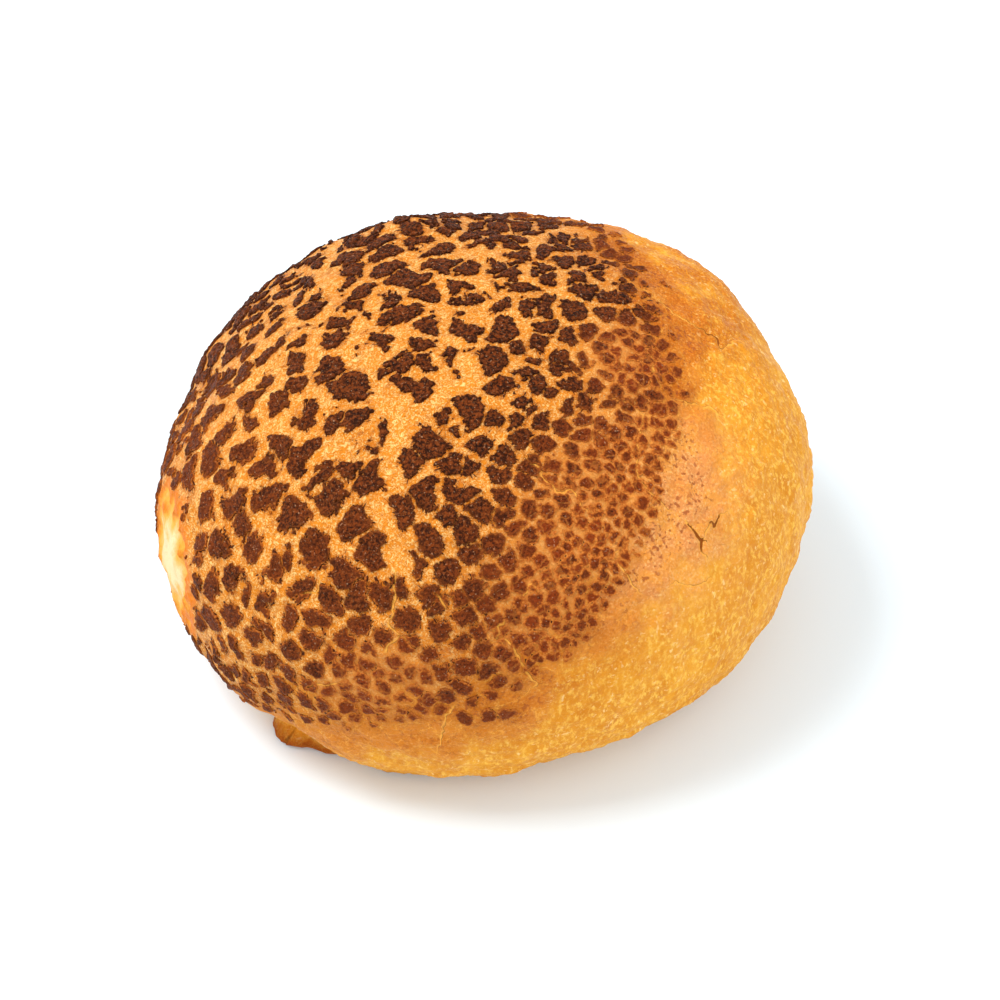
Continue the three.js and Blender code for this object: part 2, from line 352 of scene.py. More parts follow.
@dataclass(frozen=True)
class RollForm:
    """The form of the roll's skin, as a distance from the heart in every direction, in millimetres."""

    plan_radius: float = 52.7
    height: float = 64.0
    widest_height: float = 27.0
    under_reach: float = 36.2
    dome_fullness: float = 2.1
    under_fullness: float = 2.5
    rim_rounding: float = 2.5
    oval: tuple[float, float] = (0.011, 28.0)
    three_sided: tuple[float, float] = (0.015, 113.0)
    lean: tuple[float, float] = (5.7, -1.0)
    centring: tuple[float, float] = (-1.42, 0.08)
    swellings: tuple[Spot, ...] = SWELLINGS
    feet: tuple[Foot, ...] = FEET
    foot_blend: float = 1.2
    frame_step: float = 0.01

    def reach(self, directions: Array) -> Array:
        """Distance from the heart to the skin in each direction, given one a row."""
        azimuths = np.arctan2(directions[:, 1], directions[:, 0])
        oval = self.oval[0] * np.cos(2.0 * (azimuths - math.radians(self.oval[1])))
        three_sided = self.three_sided[0] * np.cos(3.0 * (azimuths - math.radians(self.three_sided[1])))
        across = self.plan_radius * (1.0 + oval + three_sided)
        rising = directions[:, 2] > 0.0
        along = np.where(rising, self.height - self.widest_height, self.under_reach)
        fullness = np.where(rising, self.dome_fullness, self.under_fullness)
        level = np.hypot(directions[:, 0], directions[:, 1]) / across
        reach = (level ** fullness + (np.abs(directions[:, 2]) / along) ** fullness) ** (-1.0 / fullness)
        for swelling in self.swellings:
            reach += swelling.at(directions)
        reach = -soft_min(-reach, -self.foot_reach(directions), self.foot_blend)
        tray = self.widest_height / np.maximum(-directions[:, 2], 1e-6)
        return np.where(rising, reach, soft_min(reach, tray, self.rim_rounding))

    def foot_reach(self, directions: Array) -> Array:
        """Distance from the heart to the outer side of the feet, 0 where a direction misses them."""
        return np.max([foot.far_side(directions, self.widest_height) for foot in self.feet], axis=0)

    def skin(self, directions: Array) -> Array:
        """Points of the skin in directions from the heart, one a row."""
        points = directions * self.reach(directions)[:, None]
        points[:, 2] += self.widest_height
        lean = (points[:, 2] / self.height) ** 2
        points[:, 0] += self.lean[0] * lean + self.centring[0]
        points[:, 1] += self.lean[1] * lean + self.centring[1]
        return points

    def sides(self, directions: Array) -> tuple[Array, Array]:
        """Unit vectors that point east and north from each direction, square to it."""
        east = unit(np.cross(UP, directions))
        return east, np.cross(directions, east)

    def normals(self, directions: Array) -> Array:
        """Outward normals of the skin in directions from the heart, one a row."""
        east, north = self.sides(directions)
        step = self.frame_step
        eastward = self.skin(unit(directions + step * east)) - self.skin(unit(directions - step * east))
        northward = self.skin(unit(directions + step * north)) - self.skin(unit(directions - step * north))
        return unit(np.cross(eastward, northward))


@dataclass(frozen=True)
class Region:
    """How the spacing of the crust's cells changes with the angle from a middle.

    Attributes:
        middle: Azimuth and elevation of the middle.
        within: Angle out to which the first spacing holds.
        until: Angle from which the last spacing holds.
        spacing: First spacing, in millimetres.
        last: Last spacing.
    """

    middle: tuple[float, float]
    within: float
    until: float
    spacing: float
    last: float

    def at(self, directions: Array) -> Array:
        """Spacing in each direction."""
        angles = degrees_between(directions, towards(*self.middle))
        return np.interp(angles, (self.within, self.until), (self.spacing, self.last))


@dataclass(frozen=True)
class Tear:
    """A line along which the crust pulled apart and left no flakes.

    Attributes:
        gape: Its width, in millimetres.
        path: Azimuths and elevations of its corners.
    """

    gape: float
    path: tuple[tuple[float, float], ...]


TEARS = (
    Tear(3.4, ((176, 55), (-147, 55.5), (-125, 51), (-120.5, 42), (-116, 34), (-109.5, 27))),
    Tear(2.8, ((-125, 51), (-114, 63), (-122, 76), (146, 83), (104, 60))),
    Tear(2.4, ((176, 55), (147, 40), (126, 28))),
    Tear(1.8, ((179, 41.5), (-170, 31), (-166, 20), (-171.5, 10))),
    Tear(3.2, ((79, 57), (71, 44), (62, 46.5))),
)


@dataclass(frozen=True)
class Crack:
    """A hairline crack in the skin.

    Attributes:
        path: Azimuths and elevations of its corners.
        width: Its width where it is widest, in millimetres.
        widest: Where along it that is, from 0 to 1.
    """

    path: tuple[tuple[float, float], ...]
    width: float
    widest: float = 0.5


CRACKS = (
    Crack(((-46, 57), (-41, 49), (-49, 45), (-54, 39), (-53, 35), (-50, 30), (-47, 26)), 0.27, 0.6),
    Crack(((-48.3, 27), (-47.2, 25.6), (-46.4, 22.6), (-46.9, 21.4), (-46.2, 18.7)), 0.75, 0.4),
    Crack(((-45.4, 22.6), (-42.6, 24.2), (-42, 23.2), (-40, 24.3), (-37.7, 23.4)), 0.52),
    Crack(((20, 54), (10, 51), (4.5, 45.5), (3, 41), (-1.5, 40), (5, 36.5), (6.7, 32)), 0.42, 0.55),
    Crack(((-30, 47), (-26, 43.6), (-22.8, 39.2), (-21.5, 34.3)), 0.3),
    Crack(((-57.5, 17.4), (-54, 18), (-51.4, 16), (-48.8, 14.8), (-46, 15), (-45.2, 13.4)), 0.3),
    Crack(((-87.6, 50), (-81, 47), (-79, 44.4), (-76, 41), (-71.4, 40.7), (-70.6, 36.6), (-66.5, 35.6),
           (-60, 37.7)), 0.27),
    Crack(((-61.8, 28.6), (-66.3, 27), (-64, 23.6), (-62.7, 20.4), (-59, 16.5)), 0.27),
    Crack(((-14, 55), (-25, 53.3), (-30, 49)), 0.3),
    Crack(((-110, 27.6), (-108.8, 23.9), (-107.5, 18.8), (-107.8, 17), (-105, 15.5), (-101.3, 12.9)), 0.3),
    Crack(((-105, 15.5), (-107.1, 13.7), (-107.5, 12.3)), 0.26),
    Crack(((-101.1, 23.5), (-98, 20.9)), 0.26),
    Crack(((-91.6, 19.3), (-89.4, 15.3), (-87.7, 16.5), (-85.6, 14.3), (-84.2, 11.7), (-82.1, 7.6),
           (-80.7, 6.2), (-84.2, 3.4), (-84, 1.8)), 0.27),
    Crack(((-81, 23.5), (-82.9, 25.3), (-84, 23.9), (-84.6, 21.4)), 0.28),
    Crack(((-87.5, 20.1), (-88, 18), (-89.4, 15.3)), 0.28),
    Crack(((-93.9, 3.6), (-95.7, 0.5), (-96.1, -5.9), (-96.8, -11)), 0.3),
    Crack(((-125.7, 16.3), (-122.2, 18.8), (-122.4, 21.8)), 0.28),
    Crack(((-119.3, 1.3), (-115.5, 3.5), (-111.4, 5.5)), 0.28),
    Crack(((64, 20), (52, 25), (44, 14)), 0.3),
    Crack(((92, 6), (84, 14), (72, 10)), 0.3),
)


@dataclass
class CrustLayout:
    """Where the crust's flakes lie: scattered cells, the coarse ones broken into a few flakes each.

    The seed and the order of the draws are fixed, so the flakes stand where the solid has them.
    The border is a list of bearings round the crust's middle, the angles from it at which flakes end and
    the width of the thin film beyond them. Strays are flakes beyond the border: their azimuth, elevation
    and spacing.
    """

    form: RollForm
    seed: int = 7
    middle: tuple[float, float] = (-166, 60)
    edge: float = 84.0
    border: tuple[tuple[float, float, float], ...] = (
        (-180, 76, 9), (-110, 82, 9), (-62, 82, 8), (-45, 77.5, 10), (-30, 78, 10), (-5, 80.5, 9),
        (10, 80, 8), (20, 76.5, 10), (30, 74.5, 14), (45, 70.5, 15), (60, 70, 10), (72, 68, 6),
        (90, 66.5, 6), (105, 69.5, 6), (118, 71.5, 6), (135, 76, 7), (180, 76, 9))
    strays: tuple[tuple[float, float, float], ...] = (
        (-92.2, 0.8, 3.2), (-88.7, 0.6, 2.8), (-85.6, 0.4, 2.3))
    regions: tuple[Region, ...] = (
        Region((-164, 60), 34, 86, 7.4, 3.2),
        Region((-50, 15), 28, 76, 1.9, 7.4),
        Region((-106, 2), 8, 34, 2.6, 7.4),
        Region((-25, 58), 6, 34, 2.3, 7.4),
        Region((48, 46), 6, 30, 3.2, 7.4))
    wholly_fine: float = 1.8
    wholly_coarse: float = 4.5
    darts: int = 40000
    breaking_draws: int = 20000
    crowding: float = 0.8
    splits: tuple[int, ...] = (1, 1, 1, 2, 2, 3)
    split_from: float = 4.2
    coarse_from: float = 4.0
    split_offset: float = 0.27
    widened: tuple[Spot, ...] = (
        Spot(-138, -4, 20, 0.75), Spot(-106, 4, 14, 0.8), Spot(20, 62, 16, 0.5), Spot(172, 42, 18, 0.15))
    wide_gap: float = 0.27
    narrow_gap: float = 0.12
    gapless_spacing: float = 1.1
    gap_variation: float = 0.45
    joined_share: float = 0.25
    joined_gap: float = 0.35
    stray_openness: float = 0.5
    flake_limit: float = 0.56
    smallest_share: float = 0.2
    border_shrinkage: float = 0.3
    border_angles: tuple[float, float] = (-3.0, 2.0)
    thinning: Waves = Waves(7.0, 92, 2.0)
    thinning_angles: tuple[float, float] = (-10.0, 1.0)
    broad_bends: Drift = Drift(5.5, 20, 0.45)
    fine_bends: Drift = Drift(2.1, 30, 0.17)
    bites: tuple[Bites, ...] = (Bites(Waves(6.5, 41), 0.9, 1.2, 0.8), Bites(Waves(3.1, 44), 1.0, 1.0, 0.6))
    fraying: tuple[Waves, ...] = (Waves(1.25, 42, 0.13), Waves(0.7, 43, 0.15))
    cracks: tuple[Crack, ...] = CRACKS
    crack_margin: float = 0.16
    crack_wander: Drift = Drift(1.7, 70, 0.16)
    crack_ends: tuple[float, float] = (0.25, 0.15)
    far_from_cracks: float = 5.0
    touching_patch: tuple[float, float, float] = (-162, 0, 11)
    tears: tuple[Tear, ...] = TEARS
    tear_margin: float = 0.5
    tear_edges: Waves = Waves(7.0, 45, 0.6)
    neighbours: int = 9
    corner_rounding: float = 0.06
    origins: Array = field(init=False)
    cells: Array = field(init=False)
    spacings: Array = field(init=False)
    openness: Array = field(init=False)
    widening: Array = field(init=False)
    tree: KDTree = field(init=False)

    def __post_init__(self) -> None:
        """Scatters the cells, breaks them and keeps the flakes ready for a search."""
        series = make_draws(self.seed, 2 * self.darts + self.breaking_draws)
        directions, spacings = self.scatter(series)
        self.break_cells(directions, spacings, series[2 * self.darts:])
        self.tree = KDTree(len(self.origins))
        for index, origin in enumerate(self.origins):
            self.tree.insert(origin, index)
        self.tree.balance()

    def beyond(self, directions: Array) -> tuple[Array, Array]:
        """Where directions lie past the border of the flakes.

        Args:
            directions: Directions from the heart, one a row.

        Returns:
            How far outside the border each direction lies, and how wide the film is there, in degrees.
        """
        middle = towards(*self.middle)
        east, north = self.form.sides(middle[None])
        bearings = np.degrees(np.arctan2(directions @ north[0], directions @ east[0]))
        turns, angles, films = zip(*self.border)
        angle = degrees_between(directions, middle)
        return angle - np.interp(bearings, turns, angles), np.interp(bearings, turns, films)

    def spacing(self, directions: Array) -> Array:
        """Spacing of the crust's cells in each direction."""
        return np.min([region.at(directions) for region in self.regions], axis=0)

    def fineness(self, directions: Array) -> Array:
        """How fine the crust's cells are in each direction, from 0 for coarse flakes to 1."""
        return ease(-self.spacing(directions), -self.wholly_coarse, -self.wholly_fine)

    def fading(self, directions: Array, points: Array) -> Array:
        """How far the crust has thinned out towards its border, from 0 to 1."""
        return ease(self.beyond(directions)[0] + self.thinning.at(points), *self.thinning_angles)

    def scatter(self, series: Array) -> tuple[Array, Array]:
        """Throws darts at the crust and keeps those that leave room for one another.

        Args:
            series: Draws, of which each dart takes two.

        Returns:
            Directions of the kept cells, and their spacings.
        """
        middle = towards(*self.middle)
        east, north = self.form.sides(middle[None])
        lowest = math.cos(math.radians(self.edge))
        upward = lowest + (1.0 - lowest) * series[0:2 * self.darts:2]
        turn = 2.0 * math.pi * series[1:2 * self.darts:2]
        sideways = np.sqrt(1.0 - upward * upward)
        directions = upward[:, None] * middle
        directions = directions + (sideways * np.cos(turn))[:, None] * east
        directions = directions + (sideways * np.sin(turn))[:, None] * north
        points = self.form.skin(directions)
        spacings = self.spacing(directions)
        bare = degrees_between(directions, towards(*self.touching_patch[:2])) < self.touching_patch[2]
        bare = bare | (self.beyond(directions)[0] > 0.0) | (self.tear_clearance(points) < self.tear_margin)
        kept = np.zeros(self.darts, dtype=int)
        count = 0
        for dart in np.flatnonzero(~bare):
            others = kept[:count]
            room = self.crowding * (spacings[others] + spacings[dart]) / 2.0
            offsets = points[others] - points[dart]
            if not np.any(np.einsum("ij,ij->i", offsets, offsets) < room * room):
                kept[count] = dart
                count += 1
        return directions[kept[:count]], spacings[kept[:count]]

    def break_cells(self, directions: Array, spacings: Array, series: Array) -> None:
        """Breaks the coarse cells into flakes and keeps the flakes' places.

        Args:
            directions: Directions of the cells.
            spacings: Spacings of the cells.
            series: Draws: how often a cell splits, its turn, then each flake's openness.
        """
        draws = iter(series)
        easts, norths = self.form.sides(directions)
        reaches = self.form.reach(directions)
        placed: list[Array] = []
        owners: list[int] = []
        openness: list[float] = []
        for index, direction in enumerate(directions):
            count = self.splits[int(next(draws) * len(self.splits))]
            turn = 2.0 * math.pi * next(draws)
            pieces = 1 if spacings[index] < self.split_from else count
            offset = 0.0 if pieces == 1 else self.split_offset * spacings[index] / reaches[index]
            for piece in range(pieces):
                angle = turn + piece * 2.0 * math.pi / pieces
                sideways = math.cos(angle) * easts[index] + math.sin(angle) * norths[index]
                placed.append(unit(direction + offset * sideways))
                owners.append(index)
                openness.append(next(draws))
        for azimuth, elevation, _ in self.strays:
            placed.append(towards(azimuth, elevation))
            owners.append(owners[-1] + 1)
            openness.append(self.stray_openness)
        self.origins = self.form.skin(np.array(placed))
        self.cells = np.array(owners)
        self.spacings = np.append(spacings, [spacing for _, _, spacing in self.strays])[self.cells]
        self.openness = np.array(openness)
        self.widening = 1.0 + spotted(self.widened, np.array(placed))

    def knots(self, path: tuple[tuple[float, float], ...]) -> Array:
        """Points of the skin along a path, whose stretches are halved so that they follow the skin."""
        corners = np.array([towards(*corner) for corner in path])
        middles = unit(corners[:-1] + corners[1:])
        return self.form.skin(np.insert(corners, range(1, len(corners)), middles, axis=0))

    def tear_clearance(self, points: Array) -> Array:
        """Distance of each point from the edge of the nearest tear, negative inside it."""
        clearance = np.full(len(points), np.inf)
        for tear in self.tears:
            distance = distance_to_path(points, self.knots(tear.path))[0]
            clearance = np.minimum(clearance, distance - tear.gape / 2.0)
        return clearance

    def nearest(self, points: Array) -> Array:
        """Indices of the flakes nearest to each point, the nearest first."""
        found = np.empty((len(points), self.neighbours), dtype=int)
        for row, point in enumerate(points):
            found[row] = [index for _, index, _ in self.tree.find_n(point, self.neighbours)]
        return found

    def crack_lines(self, points: Array) -> tuple[Array, Array]:
        """Where the points lie beside the nearest hairline crack.

        Args:
            points: Points of the skin, one a row.

        Returns:
            Signed distances from the crack's line, and half the crack's width beside each point.
        """
        wavy = points + self.crack_wander.at(points)
        start, end = self.crack_ends
        signed = np.full(len(points), self.far_from_cracks)
        gape = np.zeros(len(points))
        for crack in self.cracks:
            knots = self.knots(crack.path)
            distance, along, offset = distance_to_path(wavy, knots)
            middle = towards(*crack.path[len(crack.path) // 2])
            across = np.cross(middle, knots[-1] - knots[0])
            side = np.where(offset @ across < 0.0, -1.0, 1.0)
            taper = np.interp(along, (0.0, crack.widest, 1.0), (start, 1.0, end))
            nearer = distance < np.abs(signed)
            signed = np.where(nearer, side * distance, signed)
            gape = np.where(nearer, taper * crack.width / 2.0, gape)
        return signed, gape

    def depth(self, directions: Array, points: Array) -> tuple[Array, Array]:
        """How deep points lie inside the outline of the flake that they belong to.

        The outline runs half way to each neighbour, less the gap, with rounded corners, and stays out of
        the tears. Waves of several lengths bend it, bite pieces out of it and fray it, all in proportion to
        the flakes' spacing. Towards the border of the crust the flakes shrink, and cracks split them.

        Args:
            directions: Directions from the heart, one a row.
            points: Points of the skin in those directions.

        Returns:
            Depths in millimetres, negative in the gaps, and the index of each point's flake.
        """
        share = np.clip(self.spacing(directions) / self.regions[0].spacing, self.smallest_share, 1.0)
        root = np.sqrt(share)
        bent = points + share[:, None] * self.broad_bends.at(points)
        bent = bent + root[:, None] * self.fine_bends.at(points)
        found = self.nearest(bent)
        own = found[:, 0]
        to_own = np.linalg.norm(bent - self.origins[own], axis=1)
        spacing = self.spacings[own]
        opening = spacing - self.gapless_spacing
        softness = self.corner_rounding * spacing
        closeness = np.exp((to_own - self.flake_limit * spacing) / softness)
        for column in range(1, self.neighbours):
            other = found[:, column]
            between = np.linalg.norm(self.origins[other] - self.origins[own], axis=1)
            to_other = np.linalg.norm(bent - self.origins[other], axis=1)
            openness = 1.0 + self.gap_variation * (self.openness[own] + self.openness[other] - 1.0)
            pairs = scrambled(SCRAMBLE_PACE * (own + other) + SCRAMBLE_SIDE_PACE * np.abs(own - other))
            joined = np.where(pairs < self.joined_share, self.joined_gap, 1.0)
            wide_gap = self.wide_gap * openness * self.widening[own] * joined
            width = np.where(self.cells[own] == self.cells[other], self.narrow_gap, wide_gap)
            edge = (to_other ** 2 - to_own ** 2) / (2.0 * between) - width * opening / 2.0
            closeness += np.exp(-edge / softness)
        depth = -softness * np.log(closeness)
        depth = np.minimum(depth, self.tear_clearance(bent) + self.tear_edges.at(points))
        bitten = sum(bites.at(points) for bites in self.bites)
        depth = depth - share * bitten + root * rippled(self.fraying, points)
        stray = own >= len(self.origins) - len(self.strays)
        shrunk = self.border_shrinkage * spacing * ease(self.beyond(directions)[0], *self.border_angles)
        depth = depth - np.where(stray, 0.0, shrunk)
        signed, gape = self.crack_lines(points)
        cracked = np.where(gape > 0.0, np.abs(signed) - gape - self.crack_margin, np.inf)
        return np.minimum(depth, cracked), own


@dataclass(frozen=True)
class PalePatch:
    """The side where the roll touched another while it baked and was torn off, so that it has no crust.

    Attributes:
        azimuth: Direction of its middle.
        elevation: Direction of its middle.
        half_width: Its reach sideways, like half_height in degrees.
        half_height: Its reach upwards.
        torn_edge: Waves of its edge, as shares of its reach.
    """

    azimuth: float = -160.0
    elevation: float = -1.0
    half_width: float = 12.0
    half_height: float = 12.0
    torn_edge: tuple[Waves, ...] = (Waves(4.0, 51, 0.1), Waves(1.6, 52, 0.05))

    def inside(self, directions: Array, points: Array) -> Array:
        """How far inside the patch each direction lies: 1 at its middle, 0 at its torn edge."""
        turn = np.degrees(np.arctan2(directions[:, 1], directions[:, 0])) - self.azimuth
        turn = (turn + 180.0) % 360.0 - 180.0
        tilt = np.degrees(np.arcsin(np.clip(directions[:, 2], -1.0, 1.0))) - self.elevation
        away = np.hypot(turn / self.half_width, tilt / self.half_height)
        return np.clip(1.0 - away + rippled(self.torn_edge, points), -1.0, 1.0)


@dataclass
class Dough:
    """The baked dough: the whole roll but for the dark flakes.

    Its mesh is a cube whose faces are divided and blown up to the skin, finest where facing says.
    """

    form: RollForm
    layout: CrustLayout
    cuts: int = 126
    facing: tuple[float, float] = (-60, 40)
    facing_pull: float = 0.22
    patch: PalePatch = PalePatch()
    browned: tuple[Spot, ...] = (
        Spot(2, 53, 10, 1), Spot(-22, 48, 7, 0.9), Spot(-88, 4, 15, 0.6), Spot(-66, 12, 11, 0.45),
        Spot(-112, -12, 16, 0.4), Spot(40, 50, 12, 0.7), Spot(25, 38, 14, 0.7), Spot(48, 30, 14, 0.5),
        Spot(6, 40, 10, 0.8))
    blushed: tuple[Spot, ...] = (Spot(-52, 28, 14, 1), Spot(-38, 36, 9, 0.7), Spot(-60, 22, 9, 0.6))
    ruddy: tuple[Spot, ...] = (Spot(-165, 12, 22, 1), Spot(-125, 6, 22, 1), Spot(-95, 10, 18, 0.8))
    blotches: Waves = Waves(5.0, 91, 0.35)
    film_wobble: tuple[Waves, ...] = (Waves(19.0, 61, 2.4), Waves(6.0, 62, 1.1), Waves(2.0, 63, 0.4))
    film_step: float = 0.08
    lumps: tuple[Waves, ...] = (Waves(9.0, 81, 0.16), Waves(3.2, 82, 0.07))
    pores: Waves = Waves(1.5, 83, 0.03)
    creases: Waves = Waves(3.2, 84, 0.08, (2.6, 2.6, 0.8))
    folds: Bites = Bites(Waves(5.5, 85, 1.0, (3.0, 3.0, 0.7)), 0.8, 1.0, 0.15)
    foot_smoothness: float = 0.85
    crack_depth: float = 0.2
    crack_shoulder: float = 0.22
    full_gape: float = 0.2
    lip_share: float = 0.45
    lip_offset: float = 1.6
    patch_depth: float = 0.55
    patch_crumb: Waves = Waves(2.4, 86, 0.14, (1.0, 1.0, 2.5))
    patch_clearance: float = 3.0
    spoke_step: float = 0.37

    def film(self, directions: Array, points: Array) -> Array:
        """How far inside the border of the thin paste film each direction lies, in millimetres."""
        beyond, width = self.layout.beyond(directions)
        inside = width - beyond + rippled(self.film_wobble, points)
        return inside * math.radians(1.0) * self.form.plan_radius

    def tinted(self, spots: tuple[Spot, ...], directions: Array, points: Array) -> Array:
        """Strength of a blotchy tint around the given spots, from 0 to 1."""
        return np.clip((1.0 + self.blotches.at(points)) * spotted(spots, directions), 0.0, 1.0)

    def blank(self) -> bpy.types.Mesh:
        """A cube with finely divided faces."""
        shape = bmesh.new()
        bmesh.ops.create_cube(shape, size=2.0)
        bmesh.ops.subdivide_edges(shape, edges=shape.edges[:], cuts=self.cuts, use_grid_fill=True)
        return settle(shape, "dough")

    def relief(self, directions: Array, points: Array, maps: dict[SurfaceMap, Array]) -> Array:
        """Height of the skin's small unevenness above its smooth form.

        Args:
            directions: Directions from the heart, one a row.
            points: Points of the smooth skin.
            maps: Values at the points that the relief follows.

        Returns:
            Heights in millimetres.
        """
        free = 1.0 - maps[SurfaceMap.UNDER]
        side = ease(-directions[:, 2], -0.15, 0.25) * free
        side = side * (1.0 - self.foot_smoothness * maps[SurfaceMap.FOOT])
        bare = ease(-maps[SurfaceMap.FILM], -2.0, 3.0)
        lumps = rippled(self.lumps, points)
        pores = (1.0 + bare) * self.pores.at(points)
        creases = side * (self.creases.at(points) - self.folds.at(points))
        film = self.film_step * ease(maps[SurfaceMap.FILM], -0.6, 0.6)
        beside = maps[SurfaceMap.CRACK] / (maps[SurfaceMap.GAPE] + self.crack_shoulder)
        lips = self.lip_share * np.exp(-((np.abs(beside) - self.lip_offset) ** 2))
        sharpness = np.clip(maps[SurfaceMap.GAPE] / self.full_gape, 0.0, 1.5)
        crack = self.crack_depth * sharpness * (lips - np.exp(-beside ** 2))
        torn = ease(maps[SurfaceMap.PATCH], 0.0, 0.25)
        hollow = torn * (self.patch_crumb.at(points) - self.patch_depth)
        return free * (lumps + pores + creases + film + crack + hollow)

    def flake_depth(self, directions: Array, points: Array) -> tuple[Array, Array]:
        """How deep points lie inside their flake, with none on the pale patch, and that flake's index."""
        depth, own = self.layout.depth(directions, points)
        return depth - self.patch_clearance * ease(self.patch.inside(directions, points), -0.22, 0.0), own

    def surface(self, directions: Array) -> tuple[Array, Array, dict[SurfaceMap, Array], Array]:
        """The dough's uneven skin.

        Args:
            directions: Directions from the heart, one a row.

        Returns:
            Points of the skin, its smooth normals, the values that finishes read, and the index of the
            flake that each point belongs to.
        """
        points = self.form.skin(directions)
        depth, own = self.flake_depth(directions, points)
        signed, gape = self.layout.crack_lines(points)
        foot_rise = self.form.foot_reach(directions) - self.form.reach(directions)
        maps = {
            SurfaceMap.DEPTH: np.clip(depth, -4.0, 2.0),
            SurfaceMap.FILM: np.clip(self.film(directions, points), -9.0, 9.0),
            SurfaceMap.FINE: self.layout.fineness(directions),
            SurfaceMap.BROWNING: self.tinted(self.browned, directions, points),
            SurfaceMap.BLUSH: self.tinted(self.blushed, directions, points),
            SurfaceMap.RUDDY: self.tinted(self.ruddy, directions, points),
            SurfaceMap.FADING: self.layout.fading(directions, points),
            SurfaceMap.PATCH: self.patch.inside(directions, points),
            SurfaceMap.CRACK: signed,
            SurfaceMap.GAPE: gape,
            SurfaceMap.UNDER: ease(-points[:, 2], -1.2, -0.1),
            SurfaceMap.FOOT: ease(foot_rise, -1.5, -0.2),
        }
        normals = self.form.normals(directions)
        raised = points + self.relief(directions, points, maps)[:, None] * normals
        return raised, normals, maps, own

    def build(self) -> bpy.types.Object:
        """Makes the dough's mesh, with the values that its finish reads."""
        mesh = self.blank()
        corners = np.empty(len(mesh.vertices) * 3)
        mesh.vertices.foreach_get("co", corners)
        directions = unit(np.tan(corners.reshape(-1, 3) * math.pi / 4.0))
        directions = unit(directions + self.facing_pull * towards(*self.facing))
        raised, _, maps, own = self.surface(directions)
        raised[:, 2] = np.maximum(raised[:, 2], 0.0)
        mesh.vertices.foreach_set("co", (raised * MILLIMETRE).ravel())
        add_maps(mesh, maps)
        spoke = unit(raised - self.layout.origins[own]) + self.spoke_step * self.layout.cells[own][:, None]
        spokes = mesh.attributes.new(SurfaceMap.SPOKE.value, "FLOAT_VECTOR", "POINT")
        spokes.data.foreach_set("vector", spoke.ravel())
        return put_in_scene(mesh)


